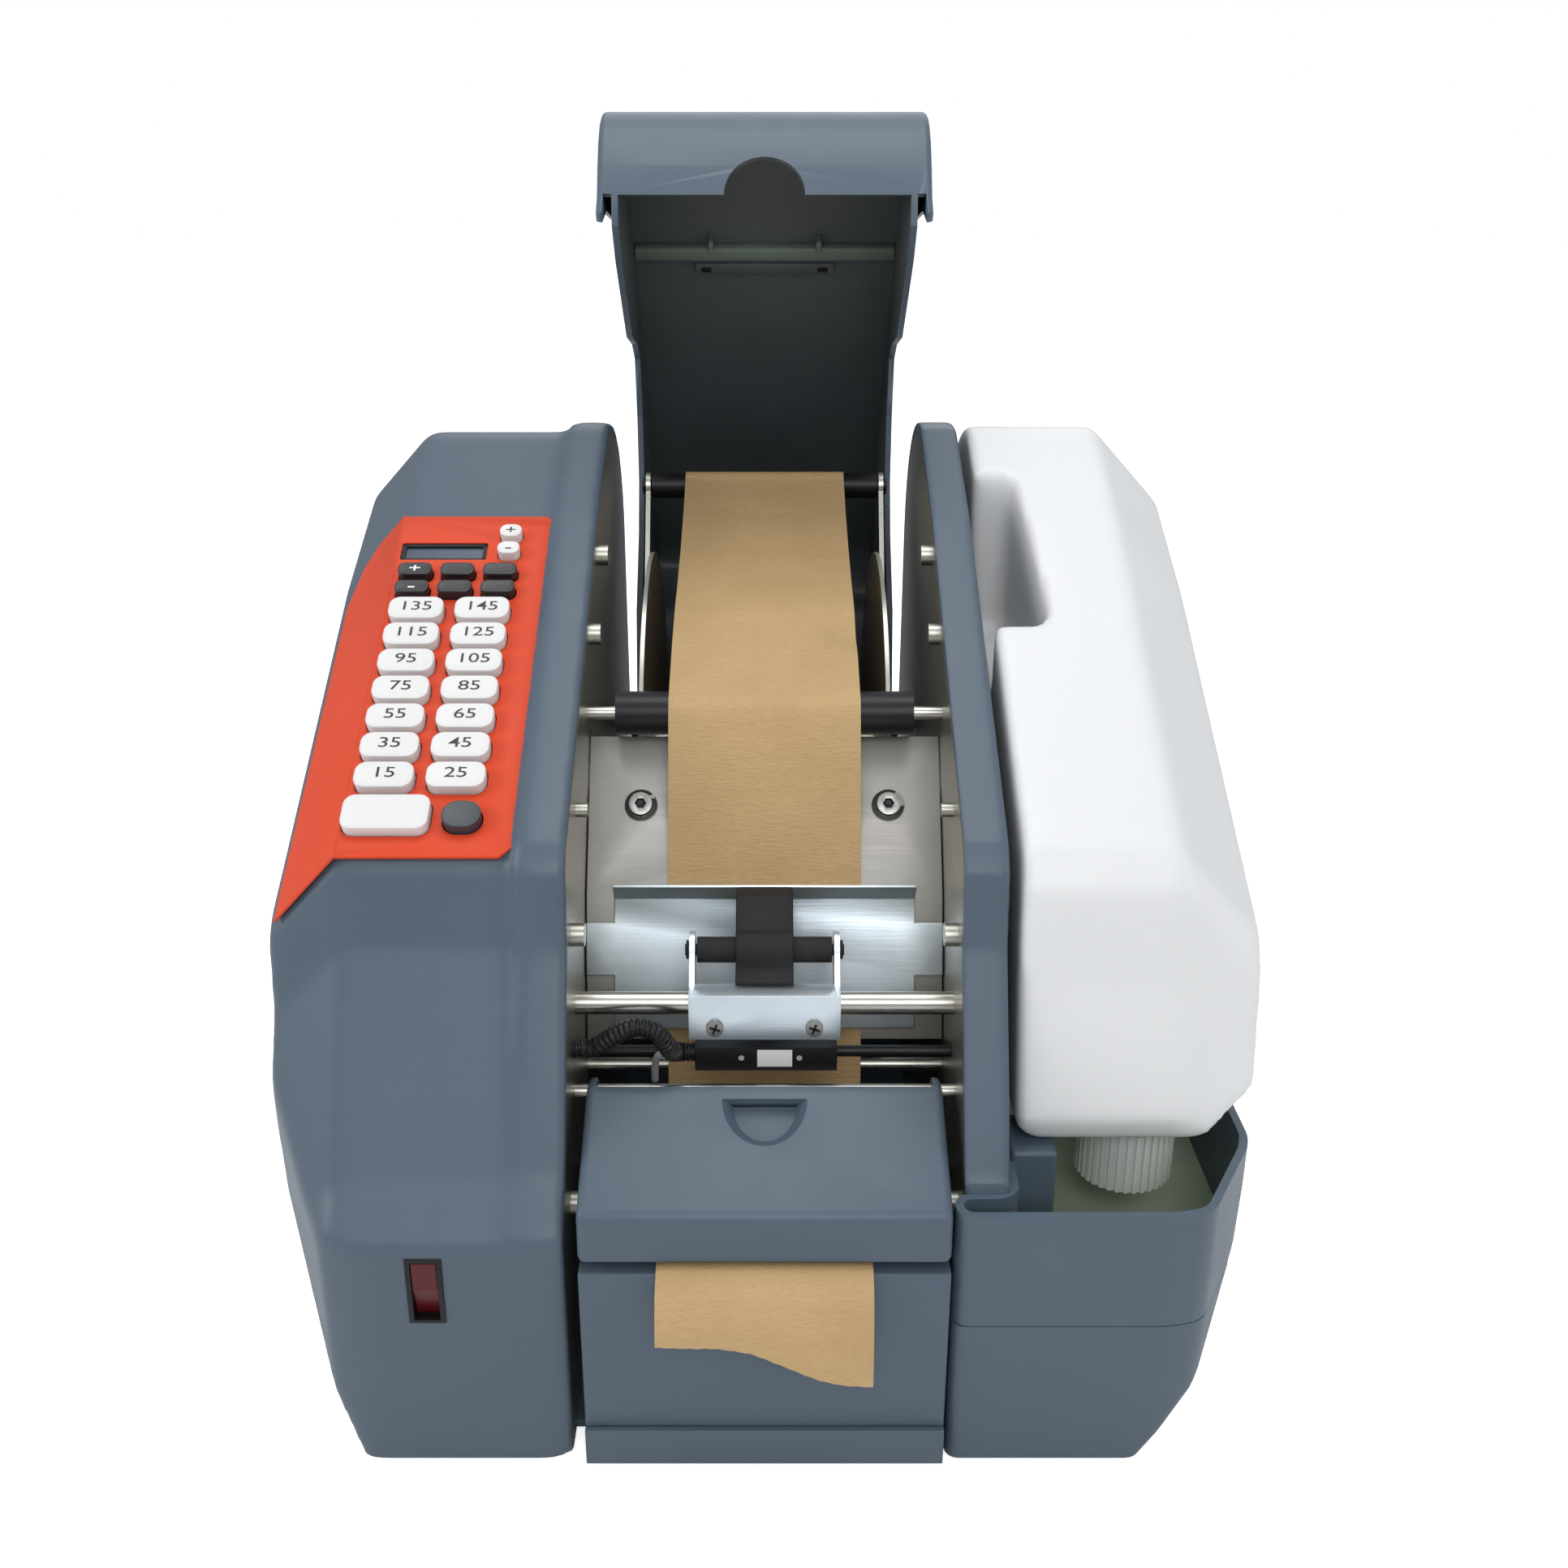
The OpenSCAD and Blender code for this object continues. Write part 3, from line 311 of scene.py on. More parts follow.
# Brushed or rolled metal: streaks one way, cloudy stains, uneven gloss
brushed, gin, gout = new_group(
    "brushed_metal",
    {
        "Colour": ("NodeSocketColor", (0.6, 0.6, 0.58, 1)),
        "Stain": ("NodeSocketColor", (0.4, 0.4, 0.38, 1)),
        "Streaks": ("NodeSocketFloat", 0.5),
        "Roughness": ("NodeSocketFloat", 0.3),
    },
    {"Colour": "NodeSocketColor", "Roughness": "NodeSocketFloat", "Height": "NodeSocketFloat"},
)
streak = noise(brushed, 60.0, 4.0, (0.6, 30.0, 30.0))
cloud = noise(brushed, 26.0, 5.0)
mask = number(brushed, "MULTIPLY", number(brushed, "POWER", cloud, 2.0), 0.9, True)
stained = blend_colours(brushed, mask, gin.outputs["Colour"], gin.outputs["Stain"])
streaky = number(brushed, "MULTIPLY", streak, number(brushed, "MULTIPLY", gin.outputs["Streaks"], 0.45))
link(brushed, blend_colours(brushed, streaky, stained, gin.outputs["Stain"]), gout.inputs["Colour"])
rough = number(brushed, "ADD", gin.outputs["Roughness"], number(brushed, "MULTIPLY", streak, 0.18))
link(brushed, rough, gout.inputs["Roughness"])
link(brushed, streak, gout.inputs["Height"])

# Kraft paper: fibres, blotches and soft creases
fibres, gin, gout = new_group(
    "kraft_fibres",
    {
        "Colour": ("NodeSocketColor", (0.6, 0.42, 0.24, 1)),
        "Dark": ("NodeSocketColor", (0.42, 0.28, 0.14, 1)),
        "Creases": ("NodeSocketFloat", 0.4),
    },
    {"Colour": "NodeSocketColor", "Roughness": "NodeSocketFloat", "Height": "NodeSocketFloat"},
)
strands = noise(fibres, 300.0, 5.0, (1.0, 4.5, 4.5))
blotch = noise(fibres, 34.0, 5.0)
crease = noise(fibres, 18.0, 2.0, (0.5, 2.2, 2.2))
mask = number(fibres, "MULTIPLY", number(fibres, "POWER", strands, 3.0), 2.2, True)
patches = number(fibres, "MULTIPLY", number(fibres, "POWER", blotch, 2.0), 0.8)
patchy = blend_colours(fibres, patches, gin.outputs["Colour"], gin.outputs["Dark"])
fibrous = number(fibres, "MULTIPLY", mask, 0.6)
link(fibres, blend_colours(fibres, fibrous, patchy, gin.outputs["Dark"]), gout.inputs["Colour"])
link(fibres, number(fibres, "ADD", 0.62, number(fibres, "MULTIPLY", blotch, 0.2)), gout.inputs["Roughness"])
creased = number(fibres, "MULTIPLY", crease, gin.outputs["Creases"])
link(fibres, number(fibres, "ADD", strands, creased), gout.inputs["Height"])


def finish_of(name, group, values, metallic=0.0, bump=0.1, depth=0.0004, specular=0.5, subsurface=0.0):
    """A material that reads one of the groups; what is the same all over sits on the shader."""
    made = bpy.data.materials.new(name)
    made.use_nodes = True
    shader = made.node_tree.nodes["Principled BSDF"]
    effect = made.node_tree.nodes.new("ShaderNodeGroup")
    effect.node_tree = group
    for label, value in values.items():
        effect.inputs[label].default_value = value
    made.node_tree.links.new(effect.outputs["Colour"], shader.inputs["Base Color"])
    made.node_tree.links.new(effect.outputs["Roughness"], shader.inputs["Roughness"])
    relief = made.node_tree.nodes.new("ShaderNodeBump")
    relief.inputs["Strength"].default_value = bump
    relief.inputs["Distance"].default_value = depth
    made.node_tree.links.new(effect.outputs["Height"], relief.inputs["Height"])
    made.node_tree.links.new(relief.outputs["Normal"], shader.inputs["Normal"])
    shader.inputs["Metallic"].default_value = metallic
    shader.inputs["Specular IOR Level"].default_value = specular
    shader.inputs["Subsurface Weight"].default_value = subsurface
    shader.inputs["Subsurface Radius"].default_value = (0.004, 0.004, 0.004)
    made.diffuse_color = values["Colour"]
    return made


def plastic(name, colour, edge=None, drift=0.08, rough=0.42, bump=0.12, **more):
    worn_colour = edge or [c * 1.25 for c in colour]
    values = {"Colour": (*colour, 1), "Edge Colour": (*worn_colour, 1), "Drift": drift, "Roughness": rough}
    return finish_of(name, moulded, values, bump=bump, **more)


def metal(name, colour, stain, streaks, rough, bump=0.08):
    values = {"Colour": (*colour, 1), "Stain": (*stain, 1), "Streaks": streaks, "Roughness": rough}
    return finish_of(name, brushed, values, metallic=1.0, bump=bump, depth=0.0002)


slate = plastic("slate_plastic", (0.062, 0.087, 0.116), (0.070, 0.096, 0.126), 0.14, 0.40, specular=0.35)
slate_inside = plastic("slate_inside", (0.062, 0.075, 0.080), None, 0.3, 0.42)
ledge_green = plastic("ledge_green", (0.12, 0.16, 0.13), None, 0.2, 0.5)
# The tank's own green plastic inside, made much lighter than its colour to stand in for light in the shadowed
# well: partly real colour, partly painted light
olive_and_painted_light = plastic("olive_and_painted_light", (0.36, 0.43, 0.31), None, 0.2, 0.5)
orange = plastic("orange_panel", (0.56, 0.052, 0.016), (0.58, 0.062, 0.022), 0.10, 0.5, specular=0.22)
white_key = plastic("white_key", (0.60, 0.595, 0.59), (0.63, 0.625, 0.61), 0.04, 0.36)
grey_key = plastic("grey_key", (0.030, 0.036, 0.042), None, 0.1, 0.4)
black_key = plastic("black_key", (0.012, 0.012, 0.014), None, 0.1, 0.38)
black_plastic = plastic("black_plastic", (0.007, 0.007, 0.008), None, 0.1, 0.36, specular=0.25)
black_rubber = plastic("black_rubber", (0.009, 0.009, 0.010), (0.03, 0.03, 0.03), 0.2, 0.62, 0.3, specular=0.25)
bottle_white = plastic(
    "bottle_white", (0.60, 0.605, 0.61), (0.63, 0.635, 0.64), 0.05, 0.42, 0.05, subsurface=0.1,
)
cap_white = plastic("cap_white", (0.52, 0.53, 0.51), None, 0.05, 0.4)
red_rocker = plastic("red_rocker", (0.075, 0.004, 0.007), None, 0.1, 0.3, 0.03, specular=0.3)
display = plastic("display_glass", (0.040, 0.060, 0.085), None, 0.05, 0.2, 0.0)
ink = plastic("printed_ink", (0.02, 0.02, 0.025), None, 0.05, 0.5)
pale_ink = plastic("pale_ink", (0.7, 0.7, 0.7), None, 0.05, 0.5)
cable_grey = plastic("cable_grey", (0.30, 0.31, 0.32), None, 0.1, 0.5)
bristle = plastic("bristle", (0.03, 0.03, 0.032), None, 0.3, 0.8, 0.6)
stainless = metal("stainless", (0.46, 0.45, 0.40), (0.26, 0.26, 0.22), 0.9, 0.26)
plate_steel = metal("plate_steel", (0.36, 0.345, 0.325), (0.26, 0.25, 0.235), 0.5, 0.44)
screw_steel = metal("screw_steel", (0.30, 0.29, 0.27), (0.16, 0.155, 0.15), 0.2, 0.26)
steel_rod = metal("steel_rod", (0.48, 0.46, 0.42), (0.24, 0.23, 0.21), 0.3, 0.2)
zinc = metal("zinc_plate", (0.74, 0.81, 0.86), (0.46, 0.52, 0.57), 0.5, 0.32, 0.2)
kraft = finish_of(
    "kraft_paper", fibres, {"Colour": (0.47, 0.325, 0.165, 1), "Dark": (0.34, 0.22, 0.10, 1), "Creases": 2.4},
    bump=0.35, depth=0.0012, specular=0.2,
)

# ---------------------------------------------------------------- tools for the pieces


def pick(obj):
    """Only this object is selected and active."""
    if bpy.context.object and bpy.context.object.mode != "OBJECT":
        bpy.ops.object.mode_set(mode="OBJECT")
    bpy.ops.object.select_all(action="DESELECT")
    obj.select_set(True)
    bpy.context.view_layer.objects.active = obj
    return obj


def apply_modifier(obj, kind, **settings):
    """Adds a modifier with these settings and applies it."""
    pick(obj)
    bpy.ops.object.modifier_add(type=kind)
    added = obj.modifiers[-1]
    for key, value in settings.items():
        setattr(added, key, value)
    bpy.ops.object.modifier_apply(modifier=added.name)
    return obj


def soften(obj, width, segments=4, angle=22):
    """Rounds every edge sharper than angle."""
    apply_modifier(
        obj, "BEVEL", width=width / 1000, segments=segments, limit_method="ANGLE",
        angle_limit=math.radians(angle), harden_normals=False, miter_outer="MITER_SHARP",
    )
    return obj


def smooth(obj, angle=35):
    """Shades a piece smooth, apart from its edges sharper than angle."""
    pick(obj)
    bpy.ops.object.shade_smooth_by_angle(angle=math.radians(angle))
    return obj


def outward(obj):
    """Merges doubles and turns the faces outwards."""
    pick(obj)
    bpy.ops.object.mode_set(mode="EDIT")
    bpy.ops.mesh.select_all(action="SELECT")
    bpy.ops.mesh.remove_doubles(threshold=0.00001)
    bpy.ops.mesh.normals_make_consistent(inside=False)
    bpy.ops.object.mode_set(mode="OBJECT")
    return obj


def cube(name, low, high):
    """A block between two corners given in millimetres."""
    a, b = at(*low), at(*high)
    bpy.ops.object.select_all(action="DESELECT")
    bpy.ops.mesh.primitive_cube_add(size=1)
    obj = bpy.context.object
    obj.name = name
    obj.scale = b - a
    obj.location = (a + b) / 2
    bpy.ops.object.transform_apply(location=True, rotation=True, scale=True)
    return obj


def rod(name, start, end, radius, sides=40):
    """A round bar between two points in millimetres."""
    a, b = at(*start), at(*end)
    bpy.ops.object.select_all(action="DESELECT")
    bpy.ops.mesh.primitive_cylinder_add(
        vertices=sides, radius=radius / 1000, depth=(b - a).length, location=(a + b) / 2,
    )
    obj = bpy.context.object
    obj.name = name
    obj.rotation_mode = "QUATERNION"
    obj.rotation_quaternion = (b - a).to_track_quat("Z", "Y")
    bpy.ops.object.transform_apply(location=True, rotation=True, scale=True)
    return obj


def drawn_out(name, ring, way):
    """A ring of points, filled and extruded by a vector."""
    bpy.ops.object.select_all(action="DESELECT")
    bpy.ops.mesh.primitive_circle_add(vertices=len(ring), radius=0.1, fill_type="NOTHING")
    obj = bpy.context.object
    obj.name = name
    for vertex, point in zip(obj.data.vertices, ring):
        vertex.co = point
    bpy.ops.object.mode_set(mode="EDIT")
    bpy.ops.mesh.select_all(action="SELECT")
    bpy.ops.mesh.edge_face_add()
    bpy.ops.mesh.extrude_region_move(TRANSFORM_OT_translate={"value": way})
    bpy.ops.mesh.select_all(action="SELECT")
    bpy.ops.mesh.normals_make_consistent(inside=False)
    bpy.ops.object.mode_set(mode="OBJECT")
    return obj


def slab(name, outline, low_x, high_x):
    """A plate cut to an outline in (Y, Z) and drawn out along X."""
    return drawn_out(name, [at(low_x, y, z) for y, z in outline], ((high_x - low_x) / 1000, 0, 0))


def block_from_plan(name, outline, low_z, high_z):
    """A block cut to an outline in (X, Y) and drawn up along Z."""
    return drawn_out(name, [at(x, y, low_z) for x, y in outline], (0, 0, (high_z - low_z) / 1000))


def slice_off(obj, point, normal):
    """Cuts away what lies on the normal's side of a plane, and closes the cut."""
    pick(obj)
    bpy.ops.object.mode_set(mode="EDIT")
    bpy.ops.mesh.select_all(action="SELECT")
    bpy.ops.mesh.bisect(plane_co=point, plane_no=normal, use_fill=True, clear_outer=True)
    bpy.ops.object.mode_set(mode="OBJECT")
    return obj


def slice_line(obj, first, last, along):
    """Slices along the plane through two points, seen along one axis; the kept side is on the left."""
    if along == "Z":
        a, b = at(first[0], first[1], 0), at(last[0], last[1], 0)
        normal = Vector((b.y - a.y, a.x - b.x, 0))
    else:
        a, b = at(first[0], 0, first[1]), at(last[0], 0, last[1])
        normal = Vector((b.z - a.z, 0, a.x - b.x))
    return slice_off(obj, a, normal.normalized())


def boolean(obj, tool, operation):
    apply_modifier(obj, "BOOLEAN", operation=operation, object=tool, solver="EXACT")
    bpy.data.objects.remove(tool)
    return obj


def cut(obj, tool):
    """Takes the tool's shape out of the piece."""
    return boolean(obj, tool, "DIFFERENCE")


def meet(obj, tool):
    """Keeps only what both shapes hold."""
    return boolean(obj, tool, "INTERSECT")


def copy_of(node, name):
    """A copy of a CAD node with its doubles merged and its flat faces whole."""
    obj = bpy.data.objects.new(name, nodes[node].data.copy())
    bpy.context.scene.collection.objects.link(obj)
    pick(obj)
    bpy.ops.object.mode_set(mode="EDIT")
    bpy.ops.mesh.select_all(action="SELECT")
    bpy.ops.mesh.remove_doubles(threshold=0.00002)
    bpy.ops.mesh.dissolve_limited(angle_limit=math.radians(1.0))
    bpy.ops.object.mode_set(mode="OBJECT")
    return obj


def dress(obj, material):
    """Gives a piece this one material."""
    obj.data.materials.clear()
    obj.data.materials.append(material)
    return obj


def place(obj, body, material, slot, replaced=None):
    """Gives a finished piece its material and its body, and hides the node that it stands for."""
    dress(obj, material)
    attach(obj, body)
    if replaced:
        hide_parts(replaced)
    return obj


def join(name, pieces):
    """Makes one piece of several."""
    bpy.ops.object.select_all(action="DESELECT")
    for piece in pieces:
        piece.select_set(True)
    bpy.context.view_layer.objects.active = pieces[0]
    bpy.ops.object.join()
    pieces[0].name = name
    return pieces[0]


def inset(points, distance):
    """The outline drawn in by a distance; it runs anticlockwise."""
    made = []
    count = len(points)
    for i, (x, y) in enumerate(points):
        before, after = points[i - 1], points[(i + 1) % count]
        u = Vector((x - before[0], y - before[1])).normalized()
        v = Vector((after[0] - x, after[1] - y)).normalized()
        nu, nv = Vector((-u.y, u.x)), Vector((-v.y, v.x))
        shift = (nu + nv) * distance / (1 + nu.dot(nv))
        made.append((x + shift.x, y + shift.y))
    return made


def mould(obj, voxel, passes, faces=1.0):
    """Remeshes a faceted form and smooths it, as a moulding with generous radii; faces is the share kept."""
    apply_modifier(obj, "REMESH", mode="VOXEL", voxel_size=voxel / 1000)
    apply_modifier(obj, "SMOOTH", factor=0.6, iterations=passes)
    if faces < 1:
        apply_modifier(obj, "DECIMATE", ratio=faces)
    return obj


def shouldered(name, level, squeezed_side, pivot_x, turn, low_x, high_x):
    """Meets the level form with the same side outline laid over to the shoulder's slope."""
    tilted = slab(name + "_tilted", squeezed_side, low_x, high_x)
    there, back = Matrix.Translation(at(pivot_x, 0, PIVOT_Z)), Matrix.Translation(-at(0, 0, PIVOT_Z))
    tilted.data.transform(there @ Matrix.Rotation(turn, 4, "Y") @ back)
    return meet(level, tilted)


def squeezed(outline, low):
    """The side outline shortened for the shoulder's slope; what is under low goes far down."""
    return [(y, -2 * BODY_H if z < low else PIVOT_Z + (z - PIVOT_Z) * math.cos(SHOULDER)) for y, z in outline]


# ---------------------------------------------------------------- left cover

STEP_IN = 4.0
RIM_TOP = [
    *arc(CREST, REAR_R, 0, 96, 12), SLOPE_TOP, KNEE, (KNEE[0] - 6, KNEE[1] - 8), (KNEE[0] - 10, KNEE[1] - 33),
]


def cover_form(name):
    """The left cover before it is moulded; its foot is carried down, and sliced off later."""
    low = FLOOR_Z - STEP_IN - 25
    side = inset([(-STEP_IN, low), (BODY_D, low), *RIM_TOP, (14 - STEP_IN, 105), (-STEP_IN, 90)], STEP_IN)
    form = slab(name, side, -HALF_W - 5, -70)
    shouldered(name, form, squeezed(side, -5), -SHOULDER_X, -SHOULDER, -2 * BODY_H, BODY_W)
    plan = [(-HALF_W + 14, BODY_D), (-HALF_W, BODY_D - 34), (-HALF_W, 42), (-144, 3), (-133, 0)]
    for first, last in zip(plan, plan[1:]):
        slice_line(form, first, last, "Z")
    front = [(-HALF_W, 108), (-HALF_W + 2, 82), (-137, FLOOR_Z)]
    for first, last in zip(front, front[1:]):
        slice_line(form, first, last, "Y")
    return form


SIDE_OUTLINE = [(0, FLOOR_Z), (BODY_D, FLOOR_Z), *RIM_TOP, (14, 105), (0, 90)]


def clear_rim(obj, side, y_front=None):
    """Hollows the rim for the side frame, from its inner face to a 3 mm wall; side is -1 or 1."""
    reach = sorted((side * (RIM_IN - (RIM_OUT - RIM_IN) * 0.1), side * RIM_OUT * 0.963))
    frame_room = slab("frame_room", inset(SIDE_OUTLINE, 4.1), *reach)
    if y_front:
        slice_off(frame_room, at(0, y_front + 3, 0), Vector((0, -1, 0)))
    return cut(obj, frame_room)


left_cover = cover_form("left_cover_moulding")
rim = slab("left_rim", SIDE_OUTLINE, -RIM_OUT - 1.5, -64.6)
left_cover = join("left_cover_moulding", [left_cover, rim])
mould(left_cover, 1.9, 15, 0.4)
slice_off(left_cover, at(-RIM_IN, 0, 0), Vector((1, 0, 0)))
slice_off(left_cover, at(0, 0, FLOOR_Z), Vector((0, 0, -1)))
well = cube("key_well", (-140.5, 100, -6), (-92.6, 260, 40))
for vertex in well.data.vertices:
    x, y, z = vertex.co * 1000
    u = -12 if y + MID_Y < 180 else 140
    vertex.co = on_pad(x, u, -6.5 if z < 20 else 20)
cut(left_cover, well)
cut(left_cover, cube("rocker_hole", (-116.0, -5, 58.9), (-104.0, 17, 84.1)))
cut(left_cover, cube("pan_room", (-129.5, 12.4, -4), (-60, 296.3, 6.3)))
clear_rim(left_cover, -1)
smooth(left_cover, 40)
place(left_cover, "base", slate, "slate_plastic", "left_cover")
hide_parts("left_rim_cover")

bezel = cube("rocker_bezel", (-116.1, -0.5, 58.8), (-103.9, 16, 84.2))
soften(bezel, 0.4, 2, 40)
cut(bezel, cube("bezel_room", (-114.3, -3, 60.2), (-105.7, 14, 82.8)))
place(smooth(bezel, 40), "base", black_plastic, "black_plastic", "rocker_frame")

# ---------------------------------------------------------------- right rim

# Its blank is wider than the rim, and its foot is sliced just above the blank's: a slice along a face
# leaves the mesh open
RIM_FRONT = 12.7
rim = slab("right_rim", SIDE_OUTLINE, 63.6, RIM_OUT)
mould(rim, 1.5, 9, 0.5)
cut(rim, cube("pan_room", (60.3, 10.2, -40), (90, 296.3, 6.3)))
slice_off(rim, at(RIM_IN, 0, 0), Vector((-1, 0, 0)))
slice_off(rim, at(0, RIM_FRONT, 0), Vector((0, -1, 0)))
slice_off(rim, at(0, 0, FLOOR_Z + 0.4), Vector((0, 0, -1)))
clear_rim(rim, 1, RIM_FRONT)
smooth(rim, 40)
place(rim, "base", slate, "slate_plastic", "right_rim_cover")

# ---------------------------------------------------------------- bottle

BOTTLE_IN = 84.1
BOTTLE_Z = 104.0
BOTTLE_SIDE = inset(
    [
        (36, BOTTLE_Z - 1), (BODY_D - 8, BOTTLE_Z - 1),
        *arc((CREST[0] - 4, CREST[1]), REAR_R, 0, 96, 12), SLOPE_TOP,
        (KNEE[0] - 1, KNEE[1] - 2), (KNEE[0] - 8, KNEE[1] - 14), (KNEE[0] - 13, KNEE[1] - 46), (32, 114),
    ],
    1,
)
bottle = slab("water_bottle_blown", BOTTLE_SIDE, BOTTLE_IN, HALF_W + 5)
low_side = squeezed(BOTTLE_SIDE, BOTTLE_Z + 5)
shouldered("bottle", bottle, low_side, SHOULDER_X - 4, SHOULDER, -BODY_W, 2 * BODY_H)
plan = [
    (BOTTLE_IN, 4), (147, 4), (HALF_W, 45), (HALF_W, BODY_D - 40), (HALF_W - 18, BODY_D - 10),
    (BOTTLE_IN, BODY_D - 10),
]
for first, last in zip(plan, plan[1:]):
    slice_line(bottle, first, last, "Z")
front = [(BOTTLE_IN, 110), (BOTTLE_IN + 6, BOTTLE_Z), (146, BOTTLE_Z), (HALF_W, 121)]
for first, last in zip(front, front[1:]):
    slice_line(bottle, first, last, "Y")
hold = block_from_plan("hand_hold", [(60, 150), (105.1, 150), (99.1, 226), (60, 226)], 226, 330)
soften(hold, 5, 3, 30)
cut(bottle, hold)
mould(bottle, 2.2, 8, 0.5)
smooth(bottle, 60)
CAP_X, CAP_Y = 127.5, 60
neck = rod("bottle_neck", (CAP_X, CAP_Y, 83.9), (CAP_X, CAP_Y, 108), 13.5)
bottle = join("water_bottle_blown", [bottle, neck])
place(bottle, "bottle", bottle_white, "bottle_white", "water_bottle")

# ---------------------------------------------------------------- water tank and its base

TANK_PLAN = [
    (61.3, 0), (133, 0), (144, 3), (HALF_W, 42), (HALF_W, BODY_D - 34), (HALF_W - 14, BODY_D), (80.5, BODY_D),
    (80.5, 12.4), (61.3, 12.4),
]


def tank_form(name, low_z, high_z):
    """The tank's outer form between two heights, with its upright edges rounded."""
    form = block_from_plan(name, TANK_PLAN, low_z - 12, high_z + 12)
    sides = [(128, FLOOR_Z), (HALF_W - 2, 60), (HALF_W, 84)]
    for first, last in zip(sides, sides[1:]):
        slice_line(form, first, last, "Y")
    soften(form, 6, 4, 12)
    slice_off(form, at(0, 0, low_z), Vector((0, 0, -1)))
    return slice_off(form, at(0, 0, high_z), Vector((0, 0, 1)))


def select_faces(obj, wanted):
    """Leaves the piece in edit mode with the wanted faces selected."""
    pick(obj)
    bpy.ops.object.mode_set(mode="EDIT")
    bpy.ops.mesh.select_mode(type="FACE")
    bpy.ops.mesh.select_all(action="DESELECT")
    bpy.ops.object.mode_set(mode="OBJECT")
    for face in obj.data.polygons:
        face.select = wanted(face)
    bpy.ops.object.mode_set(mode="EDIT")


tank = tank_form("water_tank_moulding", 57.3, 100.4)
top_z = max(v.co.z for v in tank.data.vertices)
select_faces(tank, lambda face: face.normal.z > 0.99 and face.center.z > top_z - 0.0005)
bpy.ops.mesh.inset(thickness=0.0028)
bpy.ops.mesh.extrude_region_move(TRANSFORM_OT_translate={"value": (0, 0, -0.0395)})
bpy.ops.object.mode_set(mode="OBJECT")
LEDGES = (("front", 30, 54), ("back", 250, 280))
ledges = [cube("ledge_" + end, (82.5, low, 58.3), (98.1, high, 103.7)) for end, low, high in LEDGES]
for ledge in ledges:
    soften(ledge, 1.5, 3, 30)
tank = join("water_tank_moulding", [tank, *ledges])
smooth(tank, 40)
place(tank, "base", slate, "slate_plastic", "water_tank")
# The inside of the well takes the lightened olive: painted light over the plastic's own green
tank.data.materials.append(olive_and_painted_light)
for face in tank.data.polygons:
    middle = face.center
    inner = abs(middle.x * 1000 - 122) < 41 and 4 < middle.y * 1000 + MID_Y < 317 and middle.z < 0.1002
    outward_face = (middle.x - 0.122) * face.normal.x + (middle.y - (160 - MID_Y) / 1000) * face.normal.y > 0
    if face.normal.z > 0.9 and middle.z < 0.07 or (inner and not outward_face and abs(face.normal.z) < 0.5):
        face.material_index = 1

tank_foot = tank_form("tank_base_moulding", FLOOR_Z, 57.0)
cut(tank_foot, cube("pan_room", (0, 12.4, -4), (121, 300, 6.3)))
smooth(tank_foot, 40)
place(tank_foot, "base", slate, "slate_plastic", "tank_base")

# ---------------------------------------------------------------- bottle cap with its ribs


def on_rib(face):
    """Two of every four of the cap's 144 side faces."""
    angle = math.degrees(math.atan2(face.center.y - (CAP_Y - MID_Y) / 1000, face.center.x - CAP_X / 1000))
    return abs(face.normal.z) < 0.5 and int((angle + 360) / 2.5) % 4 < 2


cap = rod("bottle_cap_ribbed", (CAP_X, CAP_Y, 78), (CAP_X, CAP_Y, 101), 16.3, 144)
select_faces(cap, on_rib)
bpy.ops.mesh.extrude_region_shrink_fatten(TRANSFORM_OT_shrink_fatten={"value": 0.0007})
bpy.ops.object.mode_set(mode="OBJECT")
select_faces(cap, lambda face: face.normal.z < -0.9 and face.area > 0.0004)
bpy.ops.mesh.inset(thickness=0.0016)
bpy.ops.mesh.inset(thickness=0.006, depth=-0.001)
bpy.ops.object.mode_set(mode="OBJECT")
smooth(cap, 25)
place(cap, "cap", cap_white, "bottle_white", "bottle_cap")

# ---------------------------------------------------------------- front panel, strip and brush cover

for node, name in (("front_panel", "front_panel_moulding"), ("base_tray", "bottom_pan")):
    piece = copy_of(node, name)
    soften(piece, 0.8, 2, 40)
    smooth(piece, 40)
    place(piece, "base", slate, "slate_plastic", node)

FRONT = 60.3
COVER_SIDE = [(-1.3, 82.6), (1.7, 82.6), (26, 82.6), (52, 107), (58, 114), (52, 120), (44, 121), (0, 100.4)]
brush_cover = slab("brush_cover_moulding", COVER_SIDE, -FRONT, FRONT)
soften(brush_cover, 3.2, 5, 25)
HOLLOW_SIDE = [(1.7, 60), (70, 60), (70, 130), (46, 130), (44, 117.4), (3, 98), (1.7, 90)]
cut(brush_cover, slab("cover_hollow", HOLLOW_SIDE, -FRONT + 3, FRONT - 3))
lean = math.atan2(121 - 100.4, 44)
recess_at = at(0, 39.5, 121 - 4.5 * math.tan(lean))


def on_cover(obj):
    """Lays a piece drawn at the origin on the slanted top, its middle near the upper edge."""
    obj.data.transform(Matrix.Translation(recess_at) @ Matrix.Rotation(lean, 4, "X"))
    return obj


def scoop(name, top, bottom, depth):
    """A tapered half-round, flat at its upper side."""
    bpy.ops.object.select_all(action="DESELECT")
    bpy.ops.mesh.primitive_cone_add(
        vertices=72, radius1=bottom / 1000, radius2=top / 1000, depth=depth / 1000 + 0.001,
        location=(0, 0, 0.0005 - depth / 2000),
    )
    piece = bpy.context.object
    piece.name = name
    bpy.ops.object.transform_apply(location=True, rotation=True, scale=True)
    for vertex in piece.data.vertices:
        vertex.co.y *= 1.25
    slice_off(piece, Vector((0, 0, 0)), Vector((0, 1, 0)))
    return on_cover(piece)


